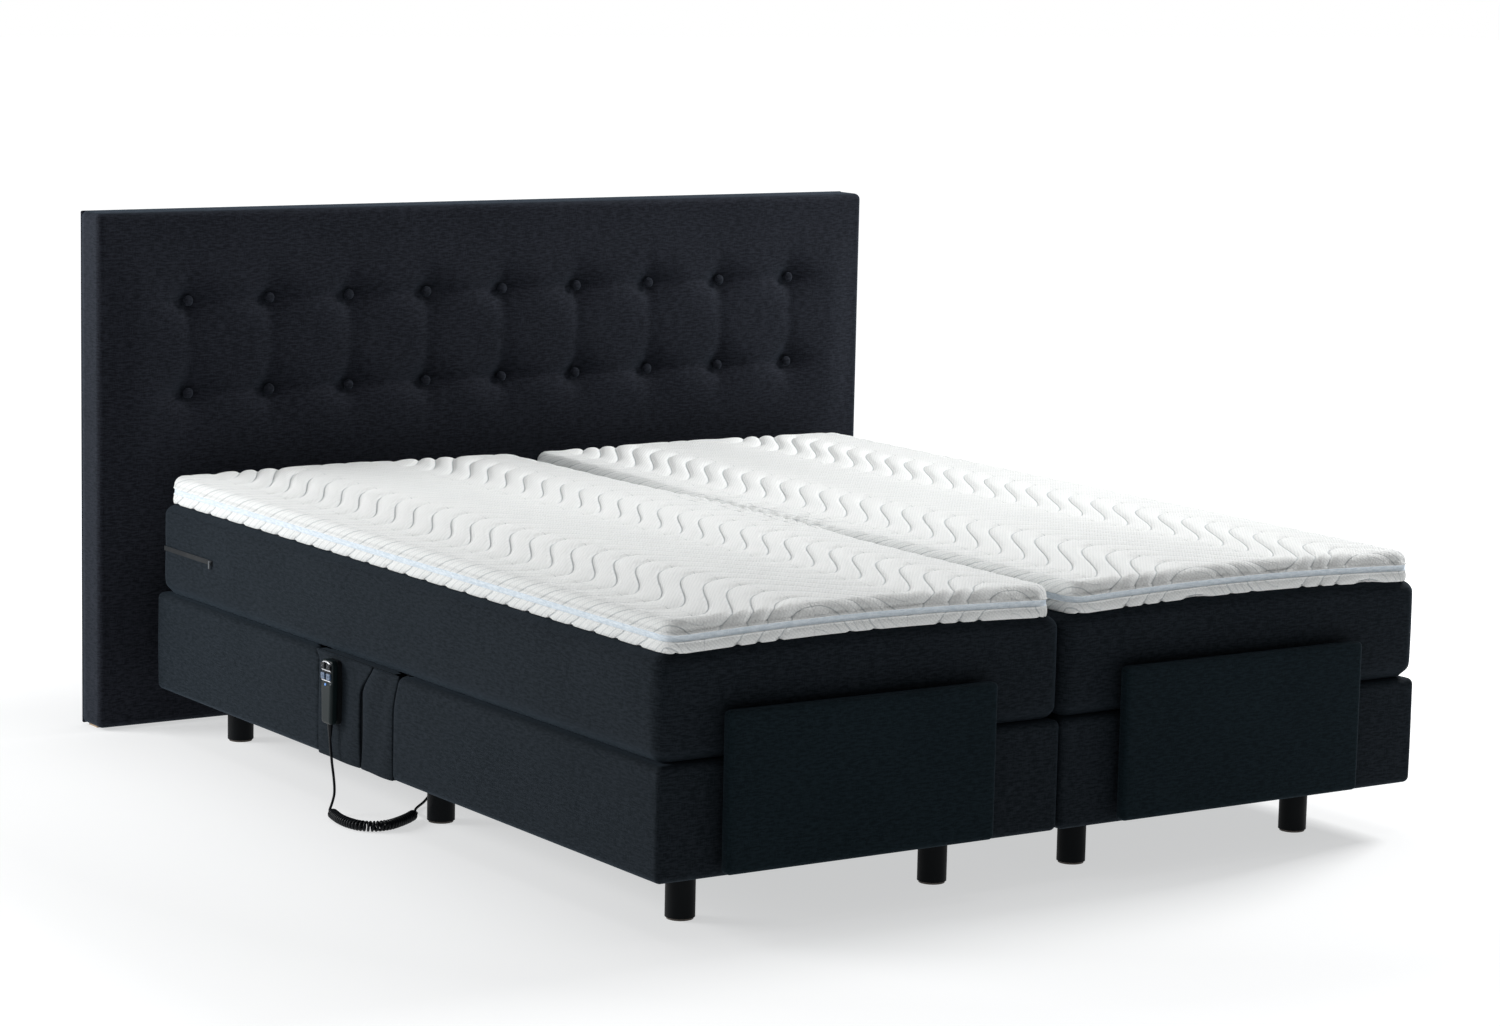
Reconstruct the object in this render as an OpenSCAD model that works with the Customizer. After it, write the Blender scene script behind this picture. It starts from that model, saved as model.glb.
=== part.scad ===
// Adjustable bed: two electric tilting bases side by side, with headboard, mattresses and a split topper.
// Origin on the floor, in the middle of the footprint. +Y points to the headboard, +Z is up, +X to the sleeper's left.

/* [Base] */
// Width of one base unit, two of which stand side by side
unit_w = 900; // [880:5:900]
// Gap between the two units
unit_gap = 3; // [2:0.5:6]
// Length of a base unit
base_len = 2040; // [2000:10:2050]
// Height of the upholstered box
base_h = 214; // [210:2:220]
// Length of the tilting foot section
foot_len = 970; // [930:5:990]
// Length of the fixed seat section between the two hinge lines
seat_len = 317; // [300:1:330]
// Thickness of the box walls with their fabric
wall_t = 18; // [16:1:20]
// Thickness of the decks that carry the mattress
deck_t = 30; // [26:1:30]

/* [Legs] */
// Height of the legs with their glides
leg_h = 100; // [80:5:120]
// Diameter of a leg
leg_d = 56; // [50:1:60]
// Distance of each row of legs from the foot end
leg_rows = [121, 1002, 1888];
// Place of each column of legs, from the middle of a unit
leg_columns = [-321, 245];

/* [Mattress and topper] */
// Height of the mattress
mattress_h = 198; // [180:2:220]
// Length of the mattress
mattress_len = 2020; // [2000:5:2020]
// Height of the topper
topper_h = 60; // [40:5:70]
// Width over both halves of the topper
topper_w = 1760; // [1700:10:1780]
// Gap between the two halves of the topper
topper_gap = 30; // [10:1:40]

/* [Headboard] */
// Width of the headboard
board_w = 2008; // [1900:4:2040]
// Height of the headboard
board_h = 1134; // [1000:2:1200]
// Distance from the foot end of the bases to the headboard
board_y = 2100; // [2095:5:2150]
// Thickness of the headboard
board_t = 100; // [90:2:110]
// Sideways distance between two buttons
button_pitch = 198; // [180:1:200]
// Heights of the two rows of buttons
button_rows = [736, 939];

/* [Tilt] */
// Largest tilt of the head section, in degrees
head_tilt = 45; // [30:1:45]
// Largest tilt of the foot section, in degrees
foot_tilt = 30; // [20:1:30]

/* [Handset] */
// Width, height and depth of the handset
handset_size = [46, 130, 28];
// Outer diameter of the curly part of the lead
coil_d = 22; // [20:1:24]
// Diameter of the lead
lead_d = 5.5; // [5:0.5:6]

/* [Hidden] */

$fn = 48;
lap = 1;                                  // how far a cutting solid runs past the face that it cuts

// Main stations along Y and Z
retainer_out = 40;                        // how far the mattress retainers stand out past the foot end
foot_y = -(board_y + board_t - retainer_out) / 2;
head_hinge_y = foot_y + foot_len + seat_len;
foot_hinge_y = foot_y + foot_len;
base_top = leg_h + base_h;
hinge_z = base_top - 18;                  // the hinge pins lie just under the mattress
deck_z = base_top - deck_t;
mattress_top = base_top + mattress_h;
half_w = (unit_w - unit_gap) / 2;
left_x = -unit_w / 2;
right_x = unit_w / 2;
head_len = base_len - foot_len - seat_len;
head_mattress_len = mattress_len - foot_len - seat_len;
foot_mattress_len = foot_len - 2;
board_front = foot_y + board_y;

// Steel underframe
rail_x = 406;                             // inner face of a side rail
rail_w = 20;
rail_h = 40;
rail_z = leg_h + 8;
rail_top = rail_z + rail_h;
tube_wall = 2;
rail_end = 30;                            // the rails stop this far inside the box

// Hinges: cheek plates stand on the side rails, and the sections hang on pins between them
cheek_x = 408;
cheek_t = 8;
ear_x = 399;
ear_t = 6;
ear_r = 14;
pin_r = 6;
pin_play = 0.05;
bar_h = 22;

// Lift: a torsion tube under each section, with two arms below the section's wear rails
tube_u = 110;                             // from the hinge line to the tube, along the section
tube_r = 15;
tube_play = 0.05;
wear_x = 185;
wear_w = 30;
wear_h = deck_z - (hinge_z - 44);
glide_r = 14;
tube_z = hinge_z - 44 - glide_r - 0.5;
arm_h = 24;
arm_t = 12;
arm_x = 194;
head_reach = 300;
foot_reach = 240;
hub_r = 22;

// Drive: a slider pushes the nose of a lever on each tube
lever_len = 70;
lever_t = 24;
lever_w = 12;
nose_r = 10;
head_swing = head_tilt * 1.25 / 2;        // half of the tube's own turn
foot_swing = foot_tilt * 1.36 / 2;
slider_len = 110;
slider_w = 44;
slider_z = [leg_h + 54, leg_h + 78];
spindle_r = 5;
spindle_play = 0.05;
spindle_z = leg_h + 68;
drive_half_w = 80;
drive_wall = 3;
drive_z = [leg_h + 50, leg_h + 168];
drive_end = 48;                           // the housing runs this far past each tube
drive_bore_r = tube_r + 0.4;
motor_r = 28;
motor_z = leg_h + 100;

// Soft parts
side_gap = 0.5;                           // a fixed soft face stops this far short of the hinge line
bend_gap = 0.6;                           // a bend zone stops this far short of the part that tilts
tilt_spare = 1;                           // a tilting soft face leans this many degrees more than it tilts

// Retainer, in the unit's own X
retainer_x = [-327, 268];
retainer_z = [112, 410];
retainer_t = 24;
retainer_r = 12;

// Handset
handset_y = foot_y + 1200;
handset_x = -half_w - unit_w / 2 - 0.5;
handset_z = 176;
case_split = 13;
key_w = 15;
key_h = [12, 13];
key_t = 5;
key_out = 2;
key_play = 0.3;
key_z = [112, 91];                        // lower edges of the two rows, from the foot of the handset
key_y = [-19, 4];
relief_len = 26;
relief_x = handset_x - 17;

// Route of the lead: from the strain relief to the coil, along the coil, and from the coil to the drive
lead_drop = [
    [relief_x, 120, 150], [relief_x, 120, 142], [-916, 118, 130], [-917, 113, 114], [-918, 108, 98],
    [-919, 101, 81], [-920, 95, 65], [-922, 89, 51], [-925, 84, 39], [-930, 80, 28], [-936, 76, 18],
    [-941, 72, 12], [-944, 67, 11], [-946, 60, 11]
];
coil_line = [
    [-946, 60], [-955, 24], [-961, -12], [-961, -48], [-952, -80], [-931, -98], [-901, -99],
    [-868, -84], [-835, -62], [-804, -34]
];
lead_bed = [
    [-804, -34, 11], [-796, -24, 8], [-788, -8, 4], [-780, 12, 3], [-768, 30, 3], [-752, 46, 4],
    [-734, 58, 8], [-716, 68, 18], [-700, 76, 34], [-684, 84, 54], [-668, 92, 76], [-650, 100, 98],
    [-630, 107, 119], [-608, 112, 140], [-586, 116, 158], [-566, 118, 168], [-552, 118, 171], [-542, 118, 171]
];
gland_y = 118;
gland_z = 171;
gland_len = 12;

// A point between b and c on the smooth line through a, b, c and d
function smooth(a, b, c, d, t) =
    ((2 * b) + (c - a) * t + (2 * a - 5 * b + 4 * c - d) * t * t + (3 * b - a - 3 * c + d) * t * t * t) / 2;
function smooth_line(p, steps) =
    let (n = len(p) - 1)
    [for (i = [0 : n - 1]) for (k = [0 : steps - 1])
        smooth(p[max(i - 1, 0)], p[i], p[i + 1], p[min(i + 2, n)], k / steps), p[n]];
function unit(v) = v / norm(v);
function heading(p, i) = unit(p[min(i + 1, len(p) - 1)] - p[max(i - 1, 0)]);

// A round tube along the points p, with flat ends
module swept_tube(p, r, sides, side_of) {
    rings = [for (i = [0 : len(p) - 1])
        let (along = heading(p, i), a = unit(cross(along, side_of)), b = cross(along, a))
        for (k = [0 : sides - 1]) p[i] + r * (cos(360 * k / sides) * a + sin(360 * k / sides) * b)];
    walls = [for (i = [0 : len(p) - 2]) for (k = [0 : sides - 1])
        let (n = (k + 1) % sides)
        [i * sides + k, i * sides + n, (i + 1) * sides + n, (i + 1) * sides + k]];
    first = [for (k = [sides - 1 : -1 : 0]) k];
    last = [for (k = [0 : sides - 1]) (len(p) - 1) * sides + k];
    polyhedron(rings, concat([first], walls, [last]), 4);
}

// A block between two corners
module block(low, high) {
    translate(low) cube(high - low);
}

// A plate or bar with its outline in Y and Z, between two X
module side_plate(x0, x1) {
    translate([x0, 0, 0]) rotate([90, 0, 90]) linear_extrude(x1 - x0) children();
}

module both_sides() {
    children();
    mirror([1, 0, 0]) children();
}

// Places a part drawn from its hinge line outwards: +Y is along the section
module at_head(unit_x) {
    translate([unit_x, head_hinge_y, 0]) children();
}

module at_foot(unit_x) {
    translate([unit_x, foot_hinge_y, 0]) mirror([0, 1, 0]) children();
}

module each_unit() {
    for (unit_x = [left_x, right_x]) translate([unit_x, 0, 0]) children();
}

module each_hinge() {
    for (unit_x = [left_x, right_x]) {
        at_head(unit_x) children();
        at_foot(unit_x) children();
    }
}

// ---- Underframe ----

module box_tube(size, open_axis) {
    hole = [for (i = [0 : 2]) i == open_axis ? size[i] + 2 * lap : size[i] - 2 * tube_wall];
    start = [for (i = [0 : 2]) i == open_axis ? -lap : tube_wall];
    difference() {
        cube(size);
        translate(start) cube(hole);
    }
}

module side_rails() {
    color("#26282c") each_unit() for (x = [-rail_x - rail_w, rail_x])
        translate([x, foot_y + rail_end, rail_z]) box_tube([rail_w, base_len - 2 * rail_end, rail_h], 1);
}

module cross_rails() {
    color("#26282c") each_unit() for (row = leg_rows)
        translate([-rail_x, foot_y + row - rail_h / 2, rail_z]) box_tube([2 * rail_x, rail_h, rail_h], 0);
}

module at_legs() {
    each_unit() for (x = leg_columns) for (row = leg_rows) translate([x, foot_y + row, 0]) children();
}

glide_h = 4;

module legs() {
    color("#1d1e22") at_legs() translate([0, 0, glide_h]) cylinder(r = leg_d / 2, h = rail_z - glide_h);
}

module leg_glides() {
    color("#111111") at_legs() cylinder(r = leg_d / 2 - 3, h = glide_h);
}

// Outline of one end of a cheek, from the hinge line outwards
module cheek_outline() {
    middle = -seat_len / 2;
    outer = tube_u + 35;
    polygon([[middle, rail_top], [outer, rail_top], [outer, tube_z + 20], [ear_r, deck_z - 12],
        [ear_r, deck_z], [middle, deck_z]]);
    translate([0, hinge_z]) circle(ear_r);
}

module hinge_cheeks() {
    color("#3a3d42") each_hinge() both_sides() side_plate(cheek_x, cheek_x + cheek_t) difference() {
        cheek_outline();
        translate([0, hinge_z]) circle(pin_r);
        translate([tube_u, tube_z]) circle(tube_r + tube_play);
    }
}

module hinge_pins() {
    color("#b9bcc2") each_hinge() both_sides() translate([ear_x - 3, 0, hinge_z]) rotate([0, 90, 0]) {
        cylinder(r = pin_r, h = cheek_x + cheek_t - ear_x + 5);
        translate([0, 0, cheek_x + cheek_t - ear_x + 3]) cylinder(r = pin_r + 3, h = 3);
    }
}

// ---- Fixed seat section ----

seat_low = foot_hinge_y + 1.5;
seat_high = head_hinge_y - 1.5;
pleat_t = 4.5;

module seat_boxes() {
    board_x = half_w - wall_t;
    color("#8a7a62") each_unit() {
        block([-board_x, foot_hinge_y + 18, deck_z], [board_x, head_hinge_y - 18, base_top]);
        both_sides() block([board_x, seat_low, leg_h + 1], [half_w - pleat_t, seat_high, base_top]);
    }
}

module seat_pleats() {
    fold = (seat_low + seat_high) / 2 - 24;
    color("#2b2f3a") each_unit() both_sides() {
        block([half_w - pleat_t, seat_low, leg_h], [half_w, fold - 1, base_top]);
        block([half_w - pleat_t, fold + 1, leg_h], [half_w, seat_high, base_top]);
    }
}

// ---- Drives ----

drive_low = foot_hinge_y - tube_u - drive_end;
drive_high = head_hinge_y + tube_u + drive_end;

module drive_shell(z0, z1, inner_z0, inner_z1) {
    difference() {
        block([-drive_half_w, drive_low, z0], [drive_half_w, drive_high, z1]);
        block([-drive_half_w + drive_wall, drive_low + drive_wall, inner_z0],
            [drive_half_w - drive_wall, drive_high - drive_wall, inner_z1]);
        for (y = [foot_hinge_y - tube_u, head_hinge_y + tube_u])
            translate([-drive_half_w - lap, y, tube_z]) rotate([0, 90, 0])
                cylinder(r = drive_bore_r, h = 2 * (drive_half_w + lap));
    }
}

// The mains inlet is a socket block with two round pins; the gland beside it takes the handset's lead
module drive_sockets() {
    inlet_y = gland_y - 90;
    translate([-drive_half_w - gland_len, gland_y, gland_z]) rotate([0, 90, 0])
        cylinder(r = 7, h = gland_len);
    difference() {
        block([-drive_half_w - 14, inlet_y - 13, gland_z - 10], [-drive_half_w, inlet_y + 13, gland_z + 10]);
        block([-drive_half_w - 15, inlet_y - 9, gland_z - 5], [-drive_half_w - 3, inlet_y + 9, gland_z + 5]);
    }
    for (side = [-1, 1]) translate([-drive_half_w - 11, inlet_y + side * 4.3, gland_z]) rotate([0, 90, 0])
        cylinder(r = 1.2, h = 8);
}

module drive_housings() {
    color("#1b1c1f") each_unit() {
        drive_shell(drive_z[0], tube_z, drive_z[0] + drive_wall, tube_z + lap);
        drive_sockets();
    }
}

module drive_covers() {
    color("#26272b") each_unit() drive_shell(tube_z, drive_z[1], tube_z - lap, drive_z[1] - drive_wall);
}

// Motor, gearbox and spindle of one side, drawn from the hinge line
module motor_unit() {
    translate([0, -150, motor_z]) rotate([-90, 0, 0]) cylinder(r = motor_r, h = 70);
    block([-30, -80, leg_h + 56], [30, -55, motor_z + motor_r + 2]);
    translate([0, -56, spindle_z]) rotate([-90, 0, 0]) cylinder(r = spindle_r, h = 94);
}

module drive_motors() {
    color("#8d9096") each_hinge() motor_unit();
}

// ---- Tilting sections, each drawn from its hinge line outwards ----

module section_box(length) {
    inner = half_w - wall_t;
    difference() {
        side_plate(-half_w, half_w) polygon([[1.5, leg_h], [length, leg_h], [length, base_top],
            [22, base_top], [1.5, hinge_z]]);
        block([-inner, -lap, leg_h - lap], [inner, length - wall_t, deck_z]);
        block([-inner, -lap, deck_z - lap], [inner, 18, base_top + lap]);
    }
}

module section_rails(length) {
    both_sides() {
        side_plate(ear_x, ear_x + ear_t) difference() {
            union() {
                translate([0, hinge_z]) circle(ear_r);
                translate([-10, deck_z - bar_h]) square([24, bar_h + 12]);
                translate([0, deck_z - bar_h]) square([length - 50, bar_h]);
            }
            translate([0, hinge_z]) circle(pin_r + pin_play);
        }
        block([wear_x, 150, deck_z - wear_h], [wear_x + wear_w, length - 80, deck_z]);
    }
}

// Torsion tube with its lever and its two lift arms
module torsion_tube(reach, swing) {
    translate([0, tube_u, tube_z]) {
        translate([-cheek_x - cheek_t - 3, 0, 0]) rotate([0, 90, 0])
            cylinder(r = tube_r, h = 2 * (cheek_x + cheek_t + 3));
        rotate([-swing, 0, 0]) side_plate(-lever_t / 2, lever_t / 2) {
            circle(hub_r);
            translate([-lever_w / 2, -lever_len]) square([lever_w, lever_len]);
            translate([0, -lever_len]) circle(nose_r);
        }
        both_sides() {
            side_plate(arm_x, arm_x + arm_t) {
                circle(hub_r);
                translate([0, -arm_h / 2]) square([reach, arm_h]);
            }
            side_plate(arm_x - 6, arm_x + arm_t + 6) translate([reach, 0]) circle(glide_r);
        }
    }
}

// The slider rests 1 mm behind the lever's nose
module drive_slider(swing) {
    face = tube_u - lever_len * sin(swing) - nose_r - 1;
    difference() {
        block([-slider_w / 2, face - slider_len, slider_z[0]], [slider_w / 2, face, slider_z[1]]);
        translate([0, face - slider_len - lap, spindle_z]) rotate([-90, 0, 0])
            cylinder(r = spindle_r + spindle_play, h = slider_len - 9);
    }
}

module head_box(unit_x) {
    color("#2b2f3a") at_head(unit_x) section_box(head_len);
}

module foot_box(unit_x) {
    color("#2b2f3a") at_foot(unit_x) section_box(foot_len);
}

module head_rails(unit_x) {
    color("#3a3d42") at_head(unit_x) section_rails(head_len);
}

// The foot rails carry the two irons that hold the mattress retainer
module foot_rails(unit_x) {
    color("#3a3d42") {
        at_foot(unit_x) section_rails(foot_len);
        for (x = [-220, 160]) translate([unit_x, 0, 0])
            block([x - 15, foot_y - retainer_out + retainer_t, leg_h + 50], [x + 15, foot_y, leg_h + 200]);
    }
}

module head_tube(unit_x) {
    color("#55585e") at_head(unit_x) torsion_tube(head_reach, head_swing);
}

module foot_tube(unit_x) {
    color("#55585e") at_foot(unit_x) torsion_tube(foot_reach, foot_swing);
}

module head_slider(unit_x) {
    color("#d8d8d2") at_head(unit_x) drive_slider(head_swing);
}

module foot_slider(unit_x) {
    color("#d8d8d2") at_foot(unit_x) drive_slider(foot_swing);
}

module retainer(unit_x) {
    width = retainer_x[1] - retainer_x[0];
    height = retainer_z[1] - retainer_z[0];
    color("#2f3742") translate([unit_x + retainer_x[0], foot_y - retainer_out + retainer_t, retainer_z[0]])
        rotate([90, 0, 0]) linear_extrude(retainer_t) {
            square([width, height - retainer_r]);
            translate([retainer_r, 0]) square([width - 2 * retainer_r, height]);
            for (x = [retainer_r, width - retainer_r]) translate([x, height - retainer_r]) circle(retainer_r);
        }
}

// ---- Mattress and topper ----

// How far the face of a tilting soft part stands back from the hinge line at height z
function set_back(tilt, z) = 1 + (z - hinge_z) * tan(tilt + tilt_spare);

// Outline of a soft layer that tilts, from its leaning face to its end
module tilting_outline(length, tilt, z0, z1) {
    polygon([[set_back(tilt, z0), z0], [length, z0], [length, z1], [set_back(tilt, z1), z1]]);
}

// Outline of the soft wedge between the fixed seat and the leaning face
module bend_outline(tilt, z0, z1) {
    polygon([[-side_gap, z0], [set_back(tilt, z0) - bend_gap, z0],
        [set_back(tilt, z1) - bend_gap, z1], [-side_gap, z1]]);
}

module mattress_head(unit_x) {
    color("#2b2f3a") at_head(unit_x) side_plate(-half_w, half_w)
        tilting_outline(head_mattress_len, head_tilt, base_top, mattress_top);
}

module mattress_foot(unit_x) {
    color("#2b2f3a") at_foot(unit_x) side_plate(-half_w, half_w)
        tilting_outline(foot_mattress_len, foot_tilt, base_top, mattress_top);
}

module mattress_seat(unit_x) {
    color("#2b2f3a") translate([unit_x, 0, 0]) block([-half_w, foot_hinge_y + side_gap, base_top],
        [half_w, head_hinge_y - side_gap, mattress_top]);
}

module mattress_bends() {
    color("#2b2f3a") for (unit_x = [left_x, right_x]) {
        at_head(unit_x) side_plate(-half_w, half_w) bend_outline(head_tilt, base_top, mattress_top);
        at_foot(unit_x) side_plate(-half_w, half_w) bend_outline(foot_tilt, base_top, mattress_top);
    }
}

topper_top = mattress_top + topper_h;

// Each half of the topper, in the bed's own X: the left half, then the right half
topper_left = [-topper_w / 2, -topper_gap / 2];
topper_right = [topper_gap / 2, topper_w / 2];

module topper_head(span) {
    color("#f2f3f4") at_head(0) side_plate(span[0], span[1])
        tilting_outline(head_mattress_len, head_tilt, mattress_top, topper_top);
}

module topper_foot(span) {
    color("#f2f3f4") at_foot(0) side_plate(span[0], span[1])
        tilting_outline(foot_mattress_len, foot_tilt, mattress_top, topper_top);
}

// The two halves are one piece over the fixed seat
module topper_centre() {
    color("#f2f3f4") block([-topper_w / 2, foot_hinge_y + side_gap, mattress_top],
        [topper_w / 2, head_hinge_y - side_gap, topper_top]);
}

module topper_bends() {
    color("#f2f3f4") for (span = [topper_left, topper_right]) {
        at_head(0) side_plate(span[0], span[1]) bend_outline(head_tilt, mattress_top, topper_top);
        at_foot(0) side_plate(span[0], span[1]) bend_outline(foot_tilt, mattress_top, topper_top);
    }
}

// ---- Zip in the side of the left mattress ----

zip_z = 416;
zip_start = foot_y + 1766;
zip_end = foot_y + mattress_len - 20;
zip_x = left_x - half_w;

module zip_tape() {
    color("#1c1f27") block([zip_x - 1.2, zip_start, zip_z - 5], [zip_x, zip_end, zip_z + 5]);
}

module zip_slider() {
    color("#4b4e55") {
        block([zip_x - 4.5, zip_start + 2, zip_z - 4], [zip_x - 1.5, zip_start + 14, zip_z + 4]);
        block([zip_x - 6.5, zip_start + 4, zip_z - 12], [zip_x - 4.5, zip_start + 10, zip_z + 2]);
    }
}

// ---- Headboard ----

board_pad = 50;
board_cover = 8;
button_r = 14;
button_t = 6;

// A standing panel with round top corners, between two Y, with its foot at height z
module panel(y0, y1, z, width, r) {
    translate([0, y1, 0]) rotate([90, 0, 0]) linear_extrude(y1 - y0) {
        translate([-width / 2, z]) square([width, board_h - r - z]);
        translate([r - width / 2, z]) square([width - 2 * r, board_h - z]);
        for (side = [-1, 1]) translate([side * (width / 2 - r), board_h - r]) circle(r);
    }
}

bolt_z = [120, 160];
bolt_r = 4;

module at_bolts() {
    for (side = [-1, 1]) for (z = bolt_z) translate([side * 600, board_front, z]) rotate([-90, 0, 0]) children();
}

module headboard_board() {
    color("#8a7a62") difference() {
        translate([-board_w / 2 + 14, board_front + board_pad, 0])
            cube([board_w - 28, board_t - board_pad - board_cover, board_h - 16]);
        at_bolts() cylinder(r = bolt_r, h = board_pad + 30);
    }
}

module headboard_padding() {
    color("#2b2f3a") difference() {
        panel(board_front + button_t, board_front + board_pad, 5, board_w, 40);
        at_bolts() cylinder(r = bolt_r, h = board_pad + lap);
    }
}

module headboard_back_cover() {
    color("#232630") panel(board_front + board_t - board_cover, board_front + board_t, 5, board_w, 40);
}

module headboard_buttons() {
    color("#2b2f3a") for (i = [-4 : 4]) for (z = button_rows)
        translate([i * button_pitch, board_front, z]) rotate([-90, 0, 0]) cylinder(r = button_r, h = button_t);
}

// Two angle irons run from the rear cross rails under the boxes and up the headboard's front
module headboard_brackets() {
    rear = foot_y + leg_rows[2];
    color("#3a3d42") for (side = [-1, 1]) translate([side * 600, 0, 0]) difference() {
        side_plate(-20, 20) {
            translate([rear - 20, leg_h - 16]) square([board_front + button_t - rear + 20, 12]);
            translate([rear - 20, leg_h - 16]) square([40, rail_z - leg_h + 16]);
            translate([board_front - 6, leg_h - 16]) square([12, 100]);
        }
        for (z = bolt_z) translate([0, board_front - 6 - lap, z]) rotate([-90, 0, 0])
            cylinder(r = bolt_r, h = 12 + 2 * lap);
    }
}

module headboard_bolts() {
    color("#b9bcc2") at_bolts() {
        translate([0, 0, -11]) cylinder(r = 7, h = 5, $fn = 6);
        translate([0, 0, -7]) cylinder(r = bolt_r, h = board_pad + 30);
    }
}

// ---- Handset ----

module on_handset() {
    translate([handset_x, handset_y, handset_z]) children();
}

module handset_back() {
    color("#17181b") on_handset() block([-case_split, -handset_size[0] / 2, 0],
        [0, handset_size[0] / 2, handset_size[1]]);
}

module handset_front() {
    color("#4b5052") on_handset() difference() {
        block([-handset_size[2], -handset_size[0] / 2, 0], [-case_split, handset_size[0] / 2, handset_size[1]]);
        for (row = [0, 1]) for (y = key_y)
            block([-handset_size[2] - lap, y - key_play, key_z[row] - key_play],
                [-handset_size[2] + key_t, y + key_w + key_play, key_z[row] + key_h[row] + key_play]);
    }
}

module key(row, column) {
    color(row == 0 ? "#1a1c1f" : "#5c7280") on_handset()
        block([-handset_size[2] - key_out, key_y[column], key_z[row]],
            [-handset_size[2] + key_t - key_out, key_y[column] + key_w, key_z[row] + key_h[row]]);
}

module strain_relief() {
    color("#17181b") translate([relief_x, lead_drop[0][1], handset_z - relief_len])
        rotate_extrude() polygon([[0, 0], [lead_d / 2 + 0.8, 0], [lead_d / 2 + 3, relief_len], [0, relief_len]]);
}

// ---- Lead ----

module handset_lead() {
    color("#1a1b1e") swept_tube(smooth_line(lead_drop, 1), lead_d / 2, 12, [0, 1, 0]);
}

module handset_coil() {
    line = [for (p = smooth_line(coil_line, 2)) [p[0], p[1], coil_d / 2]];
    color("#1a1b1e") swept_tube(line, coil_d / 2, 12, [0, 0, 1]);
}

module bed_lead() {
    color("#1a1b1e") swept_tube(smooth_line(lead_bed, 2), lead_d / 2, 12, [0, 0, 1]);
}

side_rails();
cross_rails();
legs();
leg_glides();
hinge_cheeks();
hinge_pins();
seat_boxes();
seat_pleats();
drive_housings();
drive_covers();
drive_motors();
headboard_board();
headboard_padding();
headboard_back_cover();
headboard_buttons();
headboard_brackets();
headboard_bolts();
mattress_seat(left_x);  // left_mattress_seat
mattress_seat(right_x);  // right_mattress_seat
mattress_bends();
topper_centre();
topper_bends();
head_box(left_x);  // left_head_box
head_rails(left_x);  // left_head_rails
head_tube(left_x);  // left_head_tube
head_slider(left_x);  // left_head_slider
mattress_head(left_x);  // left_mattress_head
topper_head(topper_left);  // left_topper_head
foot_box(left_x);  // left_foot_box
foot_rails(left_x);  // left_foot_rails
foot_tube(left_x);  // left_foot_tube
foot_slider(left_x);  // left_foot_slider
mattress_foot(left_x);  // left_mattress_foot
topper_foot(topper_left);  // left_topper_foot
retainer(left_x);  // left_retainer
head_box(right_x);  // right_head_box
head_rails(right_x);  // right_head_rails
head_tube(right_x);  // right_head_tube
head_slider(right_x);  // right_head_slider
mattress_head(right_x);  // right_mattress_head
topper_head(topper_right);  // right_topper_head
foot_box(right_x);  // right_foot_box
foot_rails(right_x);  // right_foot_rails
foot_tube(right_x);  // right_foot_tube
foot_slider(right_x);  // right_foot_slider
mattress_foot(right_x);  // right_mattress_foot
topper_foot(topper_right);  // right_topper_foot
retainer(right_x);  // right_retainer
zip_tape();
zip_slider();
handset_back();
handset_front();
key(0, 0);  // key_head_up
key(0, 1);  // key_foot_up
key(1, 0);  // key_head_down
key(1, 1);  // key_foot_down
strain_relief();
handset_lead();
handset_coil();
bed_lead();
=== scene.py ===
"""Looks of a two-unit adjustable bed base with a split topper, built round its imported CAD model.

Everything is in metres in the CAD frame: X across the bed, Y from the foot end to the head end, Z up.
A unit's soft parts are shaped with X as the distance from the bed's middle, then mirrored for the left unit.
"""
import math

import bpy
import numpy as np
from mathutils import Matrix, Vector


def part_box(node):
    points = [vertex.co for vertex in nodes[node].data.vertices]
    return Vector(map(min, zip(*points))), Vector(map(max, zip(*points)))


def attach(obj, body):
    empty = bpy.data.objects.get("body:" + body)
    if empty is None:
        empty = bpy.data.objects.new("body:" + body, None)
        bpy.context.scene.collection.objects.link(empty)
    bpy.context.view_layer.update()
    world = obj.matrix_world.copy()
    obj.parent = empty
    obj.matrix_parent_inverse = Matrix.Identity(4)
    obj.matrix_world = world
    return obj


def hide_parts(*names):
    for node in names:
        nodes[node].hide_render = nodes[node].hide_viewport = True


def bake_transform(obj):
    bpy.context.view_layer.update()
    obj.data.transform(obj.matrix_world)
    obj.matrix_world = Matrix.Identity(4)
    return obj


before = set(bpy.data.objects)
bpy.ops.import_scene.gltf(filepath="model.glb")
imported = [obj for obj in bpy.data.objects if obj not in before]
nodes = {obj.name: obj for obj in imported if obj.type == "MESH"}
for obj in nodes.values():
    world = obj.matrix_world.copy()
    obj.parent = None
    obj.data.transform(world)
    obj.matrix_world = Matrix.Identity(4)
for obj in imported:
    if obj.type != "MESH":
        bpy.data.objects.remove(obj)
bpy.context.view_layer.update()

SIDES = {"left": -1, "right": 1}
PARTS = ("head", "foot")
TINY = 1e-6


# -------- camera

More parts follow.
